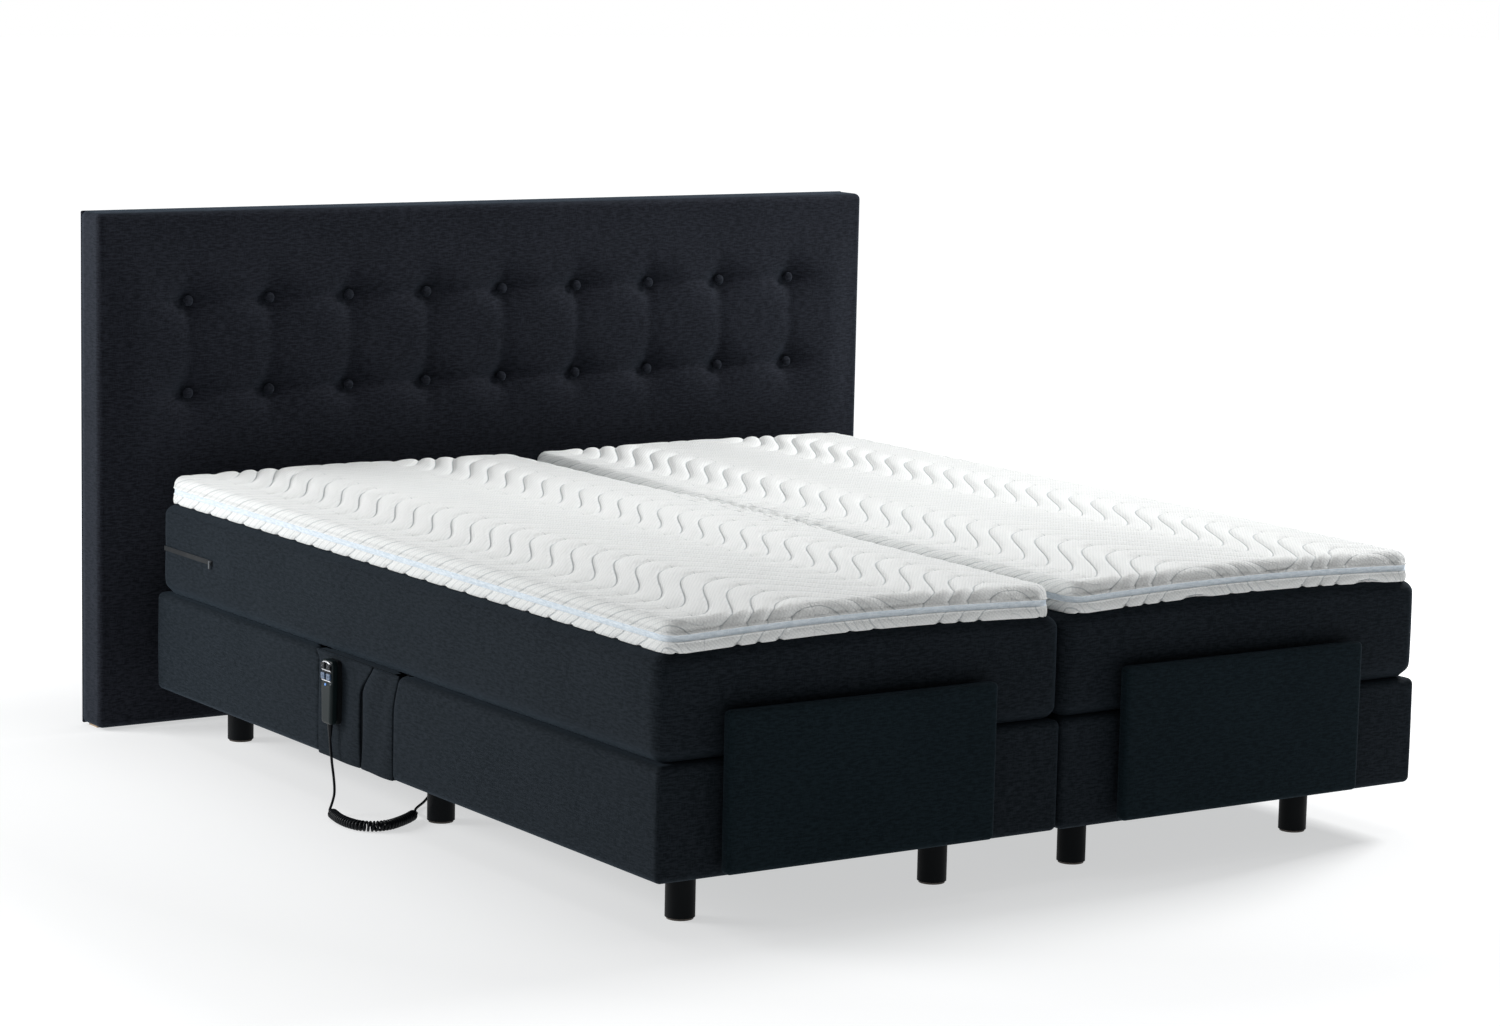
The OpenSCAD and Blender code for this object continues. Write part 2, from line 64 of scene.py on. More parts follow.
def look_from(place, yaw, pitch, roll, lens):
    """The scene's camera: yaw turns from +Y towards +X, pitch is downwards, all in degrees."""
    yaw, pitch, roll = (math.radians(angle) for angle in (yaw, pitch, roll))
    forward = Vector((math.sin(yaw) * math.cos(pitch), math.cos(yaw) * math.cos(pitch), -math.sin(pitch)))
    level = Vector((math.cos(yaw), -math.sin(yaw), 0))
    upright = level.cross(forward)
    right = level * math.cos(roll) + upright * math.sin(roll)
    up = upright * math.cos(roll) - level * math.sin(roll)
    data = bpy.data.cameras.new("camera")
    data.lens = lens
    data.sensor_width = 36
    data.clip_end = 100
    camera = bpy.data.objects.new("camera", data)
    camera.matrix_world = Matrix.Translation(place) @ Matrix((right, up, -forward)).transposed().to_4x4()
    bpy.context.collection.objects.link(camera)
    bpy.context.scene.camera = camera


look_from(place=(-4.6286, -6.8993, 1.8162), yaw=33.90, pitch=8.60, roll=1.25, lens=96.26)


# -------- mesh helpers

def arc_lines(radius, turns=3):
    """Distances from a face at which lattice lines make even steps round an edge of that radius."""
    return [radius * (1 - math.tan(math.radians(angle))) for angle in np.linspace(45, 0, turns + 1)]


def lattice(low, high, step, ends=(0,), extra=()):
    """Lattice lines from low to high: those at the given distances from each end, others a step apart."""
    first = [low + gap for gap in ends]
    last = [high - gap for gap in ends]
    count = max(2, round((min(last) - max(first)) / step) + 1)
    middle = np.linspace(max(first), min(last), count)
    return np.unique(np.round(np.concatenate([first, middle, last, list(extra)]), 6))


def surface(lines, solid=None):
    """The skin of the solid cells of a lattice, as points and quads. All cells are solid by default."""
    shape = [len(line) for line in lines]
    if solid is None:
        solid = np.ones([size - 1 for size in shape], bool)
    filled = np.pad(solid, 1).astype(int)
    quads = []
    for axis in range(3):
        across, along = (axis + 1) % 3, (axis + 2) % 3
        change = np.moveaxis(np.diff(filled, axis=axis), (axis, across, along), (0, 1, 2))
        change = change[:, 1:-1, 1:-1]
        for facing in (-1, 1):
            i, j, k = np.nonzero(change == -facing)
            corners = []
            for dj, dk in ((0, 0), (1, 0), (1, 1), (0, 1))[::facing]:
                index = [None, None, None]
                index[axis] = i
                index[across] = j + dj
                index[along] = k + dk
                corners.append(np.ravel_multi_index(index, shape))
            quads.append(np.stack(corners, axis=1))
    used, faces = np.unique(np.concatenate(quads), return_inverse=True)
    where = np.unravel_index(used, shape)
    points = np.stack([np.asarray(line)[index] for line, index in zip(lines, where)], axis=1)
    return points, faces.reshape(-1, 4)


def rounded(points, low, high, radii):
    """Points of a box's skin moved onto the box with rounded edges, and the way out at each of them."""
    low, high, radii = (np.array(values, float) for values in (low, high, radii))
    inner = np.clip(points, low + radii, high - radii)
    out = (points - inner) / radii
    length = np.linalg.norm(out, axis=1)
    outside = length > TINY
    out[outside] /= length[outside, None]
    return np.where(outside[:, None], inner + out * radii, points), out


def soft_box(low, high, radii, steps, turns, extra=((), (), ())):
    """A box with rounded edges: its points and quads, and the way out at each point."""
    lines = [lattice(low[axis], high[axis], steps[axis], arc_lines(radii[axis], turns), extra[axis])
             for axis in range(3)]
    points, faces = surface(lines)
    points, out = rounded(points, low, high, radii)
    return points, faces, out


def on_skin(points, low, high):
    """Which points lie on the sides of a box."""
    return ((points < np.array(low) + TINY) | (points > np.array(high) - TINY)).any(axis=1)


def node_box(node):
    """A CAD node's lowest and highest corners."""
    low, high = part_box(node)
    return np.array(low), np.array(high)


def outward_box(low_node, high_node):
    """The box from one node's lowest to another's highest corner, with X counted from the bed's middle."""
    low, high = node_box(low_node)[0], node_box(high_node)[1]
    low[0], high[0] = sorted((abs(low[0]), abs(high[0])))
    return low, high


def share(value, low, high):
    """How far a value is on its way from low to high, from 0 to 1."""
    return np.clip((value - low) / (high - low), 0, 1)


def ramp(value, low, high):
    """0 below low, 1 above high, and a smooth rise between."""
    t = share(value, low, high)
    return t * t * (3 - 2 * t)


def hump(t, power=1.0):
    """A rise and fall as t goes from 0 to 1. A power below 1 makes it fuller."""
    return np.sin(math.pi * np.clip(t, 0, 1)) ** power


def bell(value, centre, width):
    """1 at the centre, and next to nothing two widths away."""
    return np.exp(-((value - centre) / width) ** 2)


def wobble(points, pitch, seed):
    """A smooth uneven field from -1 to 1 whose lumps are about a pitch across: five waves out of step."""
    total = np.zeros(len(points))
    for turn in range(5):
        angle = seed * 1.7 + turn * 2.4
        way = np.array([math.cos(angle), math.sin(angle), math.cos(angle * 1.3)])
        total += np.sin(points @ way * 2 * math.pi / (pitch * (0.8 + 0.17 * turn)) + seed + turn * 1.9)
    return total / 5


def read(items, name, width=1, kind=float):
    """One value, or a row of them, of each of a mesh's items."""
    values = np.empty(len(items) * width, kind)
    items.foreach_get(name, values)
    return values.reshape(-1, width) if width > 1 else values


def lay_cloth(mesh):
    """UVs in metres, laid flat on each face from the side that it mostly faces."""
    uv = mesh.uv_layers.new(name="cloth")
    points = read(mesh.vertices, "co", 3)[read(mesh.loops, "vertex_index", kind=int)]
    sides = np.abs(read(mesh.polygons, "normal", 3)).argmax(axis=1)
    facing = np.repeat(sides, read(mesh.polygons, "loop_total", kind=int))
    rows = np.arange(len(points))
    first = points[rows, np.where(facing == 0, 1, 0)]
    second = points[rows, np.where(facing == 2, 1, 2)]
    uv.data.foreach_set("uv", np.stack([first, second], axis=1).ravel())


def piece(name, points, faces, materials, slot, kinds=None):
    """A smooth mesh object from points and faces. kinds gives each face's material."""
    mesh = bpy.data.meshes.new(name)
    mesh.from_pydata(np.asarray(points).tolist(), [], [list(map(int, face)) for face in faces])
    for material in materials:
        mesh.materials.append(material)
    if kinds is not None:
        mesh.polygons.foreach_set("material_index", np.asarray(kinds, dtype=np.int32))
    mesh.polygons.foreach_set("use_smooth", np.ones(len(mesh.polygons), bool))
    mesh.update()
    lay_cloth(mesh)
    made = bpy.data.objects.new(name, mesh)
    bpy.context.collection.objects.link(made)
    return made


def fitted(body, name, shape, material, slot, *stands_for):
    """A piece of one material that rides on a body, in place of the CAD nodes that it stands for."""
    made = piece(name, *shape, [material], slot)
    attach(made, body)
    if stands_for:
        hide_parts(*stands_for)
    return made


def tube(points, radius, sides=8, closed=False):
    """Points and quads of a round tube along a path, with closed ends unless the path is a ring."""
    path = np.asarray(points, float)
    if closed:
        ahead = np.roll(path, -1, axis=0) - np.roll(path, 1, axis=0)
    else:
        ahead = np.gradient(path, axis=0)
    ahead /= np.linalg.norm(ahead, axis=1)[:, None]
    any_way = [0.31, 0.17, 0.93]
    side = np.cross(ahead[0], any_way)
    turns = np.arange(sides) * 2 * math.pi / sides
    rings = []
    for centre, way in zip(path, ahead):
        side = side - way * (side @ way)
        side /= np.linalg.norm(side)
        up = np.cross(way, side)
        rings.append(centre + radius * (np.outer(np.cos(turns), side) + np.outer(np.sin(turns), up)))
    count = len(path)
    faces = []
    for ring in range(count if closed else count - 1):
        following = (ring + 1) % count
        for turn in range(sides):
            after = (turn + 1) % sides
            faces.append([ring * sides + turn, ring * sides + after,
                          following * sides + after, following * sides + turn])
    if not closed:
        faces.append(list(range(sides))[::-1])
        faces.append([(count - 1) * sides + turn for turn in range(sides)])
    return np.concatenate(rings), faces


def joined(*parts):
    """Several (points, faces) as one."""
    points, faces, start = [], [], 0
    for part_points, part_faces in parts:
        points.append(np.asarray(part_points))
        faces.extend([[int(index) + start for index in face] for face in part_faces])
        start += len(part_points)
    return np.concatenate(points), faces


def smooth_normals(points, faces):
    """The normals that an uncut skin has at its points, so that a cut doesn't show in the shading."""
    mesh = bpy.data.meshes.new("whole")
    mesh.from_pydata(points.tolist(), [], faces.tolist())
    mesh.update()
    normals = read(mesh.vertex_normals, "vector", 3)
    bpy.data.meshes.remove(mesh)
    return normals


def cut_in_two(points, faces, cut):
    """Cuts a skin at a lattice line across Y. Each part, the high one first, is given as its point numbers,
    its face numbers, and its new faces with a lid over the cut."""
    middle = points[faces][:, :, 1].mean(axis=1)
    parts = []
    for chosen in (np.flatnonzero(middle > cut), np.flatnonzero(middle < cut)):
        used, own = np.unique(faces[chosen], return_inverse=True)
        own = own.reshape(-1, 4).tolist()
        edges = {edge for face in own for edge in zip(face, face[1:] + face[:1])}
        after = {end: start for start, end in edges if (end, start) not in edges}
        ring = [min(after)]
        while after[ring[-1]] != ring[0]:
            ring.append(after[ring[-1]])
        parts.append((used, chosen, own + [ring]))
    return parts


# -------- material helpers

def paint(name, colour, roughness, cloth=False, **plain):
    """A new material, its node tree, its shader with these plain values, and the point that its patterns are
    laid on: cloth UVs in metres, or the object's own space."""
    material = bpy.data.materials.new(name)
    material.use_nodes = True
    tree = material.node_tree
    shader = tree.nodes["Principled BSDF"]
    shader.inputs["Base Color"].default_value = (*colour, 1)
    shader.inputs["Roughness"].default_value = roughness
    for key, value in plain.items():
        shader.inputs[key.replace("_", " ")].default_value = value
    if cloth:
        return material, tree, shader, node(tree, "UVMap", {}, uv_map="cloth")
    return material, tree, shader, node(tree, "TexCoord", {}, "Object")


def link(tree, value, socket):
    """Gives a socket a plain value, or the output of another node."""
    if isinstance(value, bpy.types.NodeSocket):
        tree.links.new(value, socket)
    else:
        socket.default_value = value


def node(tree, kind, inputs, output=0, **settings):
    """The output of a new shader node with these settings and inputs."""
    made = tree.nodes.new(f"ShaderNode{kind}")
    for name, value in settings.items():
        setattr(made, name, value)
    for name, value in inputs.items():
        link(tree, value, made.inputs[name])
    return made.outputs[output]


def maths(tree, operation, *values):
    """The output of a Math node."""
    return node(tree, "Math", dict(enumerate(values)), operation=operation)


def stretch(tree, point, scale):
    """A pattern's point scaled along each axis."""
    return node(tree, "VectorMath", {0: point, 1: scale}, operation="MULTIPLY")


def noise(tree, point, scale, detail=2.0, roughness=0.5):
    """The output of a Noise node, about 0.3 to 0.7."""
    return node(tree, "TexNoise", {"Vector": point, "Scale": scale, "Detail": detail, "Roughness": roughness})


def spread(tree, *values):
    """MapRange: a value, its lowest and highest, and the lowest and highest of what comes out."""
    return node(tree, "MapRange", dict(enumerate(values)))


def blend_colours(tree, amount, first, second):
    """The first colour at 0 and the second at 1. Each is a plain colour or another node's output."""
    made = tree.nodes.new("ShaderNodeMix")
    made.data_type = "RGBA"
    link(tree, amount, made.inputs["Factor"])
    sockets = [socket for socket in made.inputs if socket.type == "RGBA"]
    for colour, socket in zip((first, second), sockets):
        link(tree, colour if isinstance(colour, bpy.types.NodeSocket) else (*colour, 1), socket)
    return [socket for socket in made.outputs if socket.type == "RGBA"][0]


def colour_in(tree, shader, amount, first, second):
    """Gives the shader's base colour a blend of two."""
    tree.links.new(blend_colours(tree, amount, first, second), shader.inputs["Base Color"])


def raise_bumps(tree, shader, height, distance, strength):
    """Gives the shader a bump that is this distance deep."""
    normal = node(tree, "Bump", {"Strength": strength, "Distance": distance, "Height": height})
    tree.links.new(normal, shader.inputs["Normal"])


def threads(tree, point, pitch):
    """Height from -1 to 1 of a plain weave of threads a pitch apart."""
    waves = [maths(tree, "SINE", maths(tree, "MULTIPLY", node(tree, "SeparateXYZ", {0: point}, axis),
                                       math.pi / pitch)) for axis in (0, 1)]
    return maths(tree, "MULTIPLY", *waves)


def woven(name, dark, light, pitch=0.0016, cloth=True, sheen=0.07):
    """A melange furnishing fabric: plain weave, mixed thread tones, slubs, clouding and a soft sheen."""
    material, tree, shader, point = paint(
        name, dark, 0.9, cloth, Sheen_Weight=sheen, Sheen_Roughness=0.45, Sheen_Tint=(0.5, 0.72, 0.95, 1),
        Specular_IOR_Level=0.08)
    across, along = 1 / pitch, 0.09 / pitch      # a thread keeps its tone for about 11 pitches
    warp = noise(tree, stretch(tree, point, (across, along, across)), 1.0)
    weft = noise(tree, stretch(tree, point, (along, across, along)), 1.0)
    mixed = spread(tree, maths(tree, "ADD", warp, weft), 0.7, 1.3, 0.0, 1.0)
    clouds = spread(tree, noise(tree, point, 5.0, 3.0), 0.3, 0.7, -0.12, 0.12)
    slubs = noise(tree, stretch(tree, point, (55.0, 230.0, 55.0)), 1.0, 3.0, 0.7)
    slubs = spread(tree, slubs, 0.3, 0.7, -0.85, 0.85)
    tone = maths(tree, "ADD", maths(tree, "ADD", mixed, clouds), slubs)
    colour_in(tree, shader, tone, dark, light)
    height = maths(tree, "MULTIPLY_ADD", mixed, 0.8, threads(tree, point, pitch))
    raise_bumps(tree, shader, height, pitch * 0.12, 0.7)
    return material


def knitted(name, colour, shade, line_shade):
    """White double-jersey knit: small dimples in diagonal rows, stitch lines, and fine lines between them.
    Its colour is painted shade: darker in the dimples' hollows, and along the stitch lines and the fine
    lines.

    The mesh's "quilt" UVs give the count of stitch lines up to a point and their spacing there, below 0 where
    they run towards the foot end."""
    dimple_pitch, loop_pitch = 0.0056, 0.0011
    fine_lines = 3.0                             # fine lines to each stitch line
    material, tree, shader, point = paint(name, colour, 0.82, True, Sheen_Weight=0.15, Sheen_Roughness=0.5,
                                          Specular_IOR_Level=0.3)
    turned = node(tree, "VectorRotate", {"Vector": point, "Angle": math.radians(38)}, rotation_type="Z_AXIS")
    dimple = threads(tree, turned, dimple_pitch)
    dimple = maths(tree, "POWER", maths(tree, "ABSOLUTE", dimple), 0.6)
    loops = threads(tree, point, loop_pitch)
    fibre = noise(tree, point, 900.0, 2.0)
    height = maths(tree, "MULTIPLY_ADD", loops, 0.15, maths(tree, "MULTIPLY_ADD", fibre, 0.25, dimple))
    quilt = node(tree, "UVMap", {}, uv_map="quilt")
    lines, signed_spacing = (node(tree, "SeparateXYZ", {0: quilt}, axis) for axis in (0, 1))
    spacing = maths(tree, "ABSOLUTE", signed_spacing)
    near = maths(tree, "MULTIPLY", maths(tree, "PINGPONG", lines, 0.5), spacing)
    stitch = spread(tree, near, 0.0006, 0.0022, 0.0, 1.0)
    fine = maths(tree, "PINGPONG", maths(tree, "MULTIPLY", lines, fine_lines), 0.5)
    fine = maths(tree, "MULTIPLY", fine, maths(tree, "DIVIDE", spacing, fine_lines))
    fine = spread(tree, fine, 0.0004, 0.0020, spread(tree, signed_spacing, -0.05, 0.03, 0.45, 1.0), 1.0)
    stitch = maths(tree, "MULTIPLY", stitch, fine)
    # Painted shade: the colour darkens to the shade colour in the dimples' hollows, in random patches.
    hollow = spread(tree, dimple, 0.0, 1.0, 1.0, 0.0)
    tone = maths(tree, "MULTIPLY", hollow, spread(tree, noise(tree, point, 9.0), 0.3, 0.7, 0.6, 1.0))
    plain = blend_colours(tree, tone, colour, shade)
    # Painted shade: darker along the stitch lines' grooves and along the fine lines between them.
    colour_in(tree, shader, stitch, line_shade, plain)
    height = maths(tree, "MULTIPLY_ADD", stitch, 1.4, height)
    raise_bumps(tree, shader, height, 0.0011, 0.6)
    return material


def moulded(name, colour, roughness, grain=900.0, depth=0.00006, gloss=0.5):
    """Moulded plastic or rubber: a fine grain, and uneven gloss from handling."""
    material, tree, shader, point = paint(name, colour, roughness, Specular_IOR_Level=gloss)
    patch = noise(tree, point, 14.0, 4.0)
    uneven = spread(tree, patch, 0.3, 0.7, roughness * 0.85, min(1, roughness * 1.2))
    link(tree, uneven, shader.inputs["Roughness"])
    lighter = tuple(min(1, part * 1.25 + 0.002) for part in colour)
    colour_in(tree, shader, patch, colour, lighter)
    raise_bumps(tree, shader, noise(tree, point, grain, 3.0), depth, 0.6)
    return material


def metal(name, colour, roughness, metallic=1.0):
    """Drawn or coated steel: fine draw lines along Y, dulled in patches."""
    material, tree, shader, point = paint(name, colour, roughness, Metallic=metallic)
    drawn = noise(tree, stretch(tree, point, (40.0, 2.0, 40.0)), 12.0, 5.0, 0.65)
    dull = noise(tree, point, 7.0, 3.0)
    both = maths(tree, "MULTIPLY", drawn, dull)
    uneven = spread(tree, both, 0.1, 0.5, roughness * 0.8, min(1, roughness * 1.35))
    link(tree, uneven, shader.inputs["Roughness"])
    darker = tuple(part * 0.72 for part in colour)
    colour_in(tree, shader, drawn, darker, colour)
    raise_bumps(tree, shader, drawn, 0.00008, 0.5)
    return material


def wooden(name, colour, shade):
    """Chipboard and pine behind the upholstery: flecks and long grain."""
    material, tree, shader, point = paint(name, colour, 0.75)
    grain = noise(tree, stretch(tree, point, (3.0, 60.0, 60.0)), 3.0, 5.0, 0.6)
    flecks = noise(tree, point, 260.0, 2.0)
    both = maths(tree, "MULTIPLY_ADD", flecks, 0.5, maths(tree, "MULTIPLY", grain, 0.7))
    colour_in(tree, shader, both, shade, colour)
    raise_bumps(tree, shader, both, 0.0003, 0.5)
    return material


def felted(name, colour, shade):
    """Pressed felt under the leg glides: short hairs."""
    material, tree, shader, point = paint(name, colour, 1.0, Sheen_Weight=0.3)
    hairs = noise(tree, point, 1400.0, 4.0, 0.7)
    colour_in(tree, shader, hairs, shade, colour)
    raise_bumps(tree, shader, hairs, 0.0004, 0.8)
    return material


def glowing(name, colour, glow, strength):
    """A small signal lamp behind clouded plastic."""
    material, tree, shader, point = paint(name, colour, 0.3, Emission_Color=glow, Emission_Strength=strength)
    link(tree, spread(tree, noise(tree, point, 800.0), 0.3, 0.7, 0.2, 0.5), shader.inputs["Roughness"])
    return material


navy = {"dark": (0.0040, 0.0066, 0.0090), "light": (0.0125, 0.0165, 0.0215)}
base_cloth = woven("base_cloth", **navy)
mattress_cloth = woven("mattress_cloth", **navy, pitch=0.0014)
back_cloth = woven("back_cloth", (0.0058, 0.0069, 0.0101), (0.0167, 0.0187, 0.0258))
pleat_cloth = woven("pleat_cloth", (0.0038, 0.0062, 0.0084), (0.0115, 0.0150, 0.0195), pitch=0.0013)
retainer_cloth = woven("retainer_cloth", (0.0022, 0.0060, 0.0082), (0.0066, 0.0134, 0.0176), pitch=0.0012)
edge_cloth = woven("edge_cloth", (0.008, 0.013, 0.016), (0.022, 0.030, 0.036), pitch=0.0010)
# Painted shade: the seat boxes get this near-black cloth so that the gaps beside the pleats look dark.
seat_gap_shade = woven("seat_gap_shade", (0.005, 0.006, 0.007), (0.011, 0.012, 0.014), pitch=0.0024, cloth=False)
# The topper cloth's second colour is painted shade in the dimples' hollows, and its third is painted shade
# along the stitch lines and fine lines.
topper_cloth = knitted("topper_cloth", (0.80, 0.81, 0.80), (0.68, 0.70, 0.70), (0.52, 0.55, 0.56))
topper_band = woven("topper_band", (0.56, 0.63, 0.69), (0.72, 0.78, 0.83), pitch=0.0009, sheen=0.3)
black_plastic = moulded("black_plastic", (0.001, 0.002, 0.003), 0.5, gloss=0.09)
drive_plastic = moulded("drive_plastic", (0.020, 0.021, 0.023), 0.5, grain=600.0)
cord_plastic = moulded("cord_plastic", (0.002, 0.003, 0.005), 0.38, grain=1500.0, gloss=0.16)
nylon = moulded("nylon", (0.62, 0.60, 0.55), 0.45, grain=500.0)
handset_dark = moulded("handset_dark", (0.004, 0.005, 0.006), 0.4, gloss=0.2)
handset_gloss = moulded("handset_gloss", (0.006, 0.011, 0.012), 0.34, grain=300.0, depth=0.00001, gloss=0.11)
handset_panel = moulded("handset_panel", (0.004, 0.005, 0.006), 0.4, gloss=0.1)
chrome = metal("chrome", (0.82, 0.84, 0.88), 0.22, metallic=0.35)
key_rubber = moulded("key_rubber", (0.008, 0.009, 0.011), 0.5, gloss=0.2)
key_blue = moulded("key_blue", (0.070, 0.110, 0.180), 0.45)
mark_grey = moulded("mark_grey", (0.12, 0.14, 0.17), 0.6)
lamp_blue = glowing("lamp_blue", (0.05, 0.15, 0.4), (0.2, 0.45, 1, 1), 0.6)
frame_paint = metal("frame_paint", (0.060, 0.062, 0.066), 0.48, metallic=0.6)
bright_steel = metal("bright_steel", (0.58, 0.59, 0.61), 0.3)
board_wood = wooden("board_wood", (0.46, 0.34, 0.22), (0.27, 0.18, 0.11))
glide_felt = felted("glide_felt", (0.16, 0.14, 0.12), (0.06, 0.05, 0.045))
zip_nylon = moulded("zip_nylon", (0.006, 0.008, 0.010), 0.6, grain=700.0, depth=0.0002, gloss=0.2)
zip_metal = metal("zip_metal", (0.10, 0.11, 0.12), 0.4)


# -------- handset cord

LEAD_DIAMETER = 0.0055
COIL_RADIUS = 0.00825
COIL_PITCH = 0.0076
COIL_HEIGHT = 0.011               # of the coil's middle line above the floor
FINE_STEP = 0.0001
TURN_IN = (0.006, 0.024)          # from the coil's ends, where the lead starts to turn and turns fully
SWING_OUT = 0.022                 # from the coil's ends, where it is out at the coil's radius
LEAD_DROP = [
    [-0.916, 0.120, 0.150], [-0.916, 0.120, 0.142], [-0.916, 0.118, 0.130], [-0.917, 0.113, 0.114],
    [-0.918, 0.108, 0.098], [-0.919, 0.101, 0.081], [-0.920, 0.095, 0.065], [-0.922, 0.089, 0.051],
    [-0.925, 0.084, 0.039], [-0.930, 0.080, 0.028], [-0.936, 0.076, 0.018], [-0.941, 0.072, 0.012],
    [-0.944, 0.067, 0.011], [-0.946, 0.060, 0.011],
]
COIL_LINE = [
    [-0.946, 0.060], [-0.955, 0.024], [-0.961, -0.012], [-0.961, -0.048], [-0.952, -0.080],
    [-0.931, -0.098], [-0.901, -0.099], [-0.868, -0.084], [-0.835, -0.062], [-0.804, -0.034],
]
BED_LEAD = [
    [-0.804, -0.034, 0.011], [-0.796, -0.024, 0.008], [-0.788, -0.008, 0.004], [-0.780, 0.012, 0.003],
    [-0.768, 0.030, 0.003], [-0.752, 0.046, 0.004], [-0.734, 0.058, 0.008], [-0.716, 0.068, 0.018],
    [-0.700, 0.076, 0.034], [-0.684, 0.084, 0.054], [-0.668, 0.092, 0.076], [-0.650, 0.100, 0.098],
    [-0.630, 0.107, 0.119], [-0.608, 0.112, 0.140], [-0.586, 0.116, 0.158], [-0.566, 0.118, 0.168],
    [-0.552, 0.118, 0.171], [-0.542, 0.118, 0.171],
]


def evened(points, step):
    """A path resampled at even steps on a smooth curve through its points."""
    path = np.asarray(points, float)
    knots = np.concatenate([[0], np.cumsum(np.linalg.norm(np.diff(path, axis=0), axis=1))])
    slopes = np.gradient(path, knots, axis=0)
    places = np.linspace(0, knots[-1], max(2, round(knots[-1] / step) + 1))
    index = np.clip(np.searchsorted(knots, places, side="right") - 1, 0, len(knots) - 2)
    span = (knots[index + 1] - knots[index])[:, None]
    t = (places - knots[index])[:, None] / span
    return ((2 * t ** 3 - 3 * t ** 2 + 1) * path[index] + (t ** 3 - 2 * t ** 2 + t) * span * slopes[index]
            + (3 * t ** 2 - 2 * t ** 3) * path[index + 1] + (t ** 3 - t ** 2) * span * slopes[index + 1])


def coiled(line, radius, pitch, rows):
    """A helix about a level line, with so many points to a turn. The lead swings out to it at each end."""
    centre = evened([[x, y, COIL_HEIGHT] for x, y in line], FINE_STEP)
    places = np.arange(len(centre)) * FINE_STEP
    from_end = np.minimum(places, places[-1] - places)
    angle = np.cumsum(ramp(from_end, *TURN_IN)) * FINE_STEP * 2 * math.pi / pitch
    reach = radius * ramp(from_end, 0, SWING_OUT)[:, None]
    ahead = np.gradient(centre, axis=0)
    ahead /= np.linalg.norm(ahead, axis=1)[:, None]
    side = np.cross(ahead, [0, 0, 1])
    path = centre + reach * (np.cos(angle)[:, None] * side + np.sin(angle)[:, None] * [0, 0, 1])
    along = np.concatenate([[0], np.cumsum(np.linalg.norm(np.diff(path, axis=0), axis=1))])
    steps = np.linspace(0, along[-1], round(along[-1] / (2 * math.pi * radius / rows)) + 1)
    return np.stack([np.interp(steps, along, path[:, axis]) for axis in range(3)], axis=1)


drop = evened(LEAD_DROP, step=0.006)
coil = coiled(COIL_LINE, COIL_RADIUS, COIL_PITCH, rows=16)
away = evened(BED_LEAD, step=0.008)
route = np.concatenate([drop[:-1], coil, away[1:]])
cord_curve = bpy.data.curves.new("handset_cord", "CURVE")
cord_curve.dimensions = "3D"
cord_curve.bevel_depth = LEAD_DIAMETER / 2
cord_curve.bevel_resolution = 3
cord_curve.use_fill_caps = True
spline = cord_curve.splines.new("POLY")
spline.points.add(len(route) - 1)
spline.points.foreach_set("co", np.hstack([route, np.ones((len(route), 1))]).ravel())
spline.use_smooth = True
cord_curve.materials.append(cord_plastic)
handset_cord = bpy.data.objects.new("handset_cord", cord_curve)
bpy.context.collection.objects.link(handset_cord)
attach(handset_cord, "root")
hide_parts("handset_lead", "handset_coil", "bed_lead")


# -------- mattresses

CUT = 0.0235                      # the head and foot parts of a soft layer meet here, on the seat section
HINGES = {"head": 0.207, "foot": -0.110}
ZIP_LEVEL = (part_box("zip_tape")[0][2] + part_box("zip_tape")[1][2]) / 2


def lift(x, y, inner, outer):
    """How far a unit's soft top stands up in the middle of its width, most at the foot end."""
    return 0.0115 * hump((np.abs(x) - inner) / (outer - inner)) * (1 - 0.65 * ramp(y, -1.0, 0.2))


def two_parts(name, side, points, faces, materials, slot, kinds=None, quilt=None):
    """The head and foot parts of a soft layer, cut apart at CUT, each shaded with the normals of the uncut
    skin.
    """
    normals = smooth_normals(points, faces)
    for part, (used, chosen, own) in zip(PARTS, cut_in_two(points, faces, CUT)):
        own_kinds = None if kinds is None else np.append(kinds[chosen], 0)
        pad = piece(f"{side}_{name}_{part}_pad", points[used], own, materials, slot, own_kinds)
        if quilt is not None:
            corner = read(pad.data.loops, "vertex_index", kind=int)
            pad.data.uv_layers.new(name="quilt").data.foreach_set("uv", quilt[used][corner].ravel())
        pad.data.normals_split_custom_set_from_vertices(normals[used].tolist())
        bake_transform(pad)
        if name == "mattress":
            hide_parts(f"{side}_mattress_{part}", f"{side}_mattress_seat", "mattress_bends")
        else:
            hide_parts(f"{side}_topper_{part}", "topper_centre", "topper_bends")


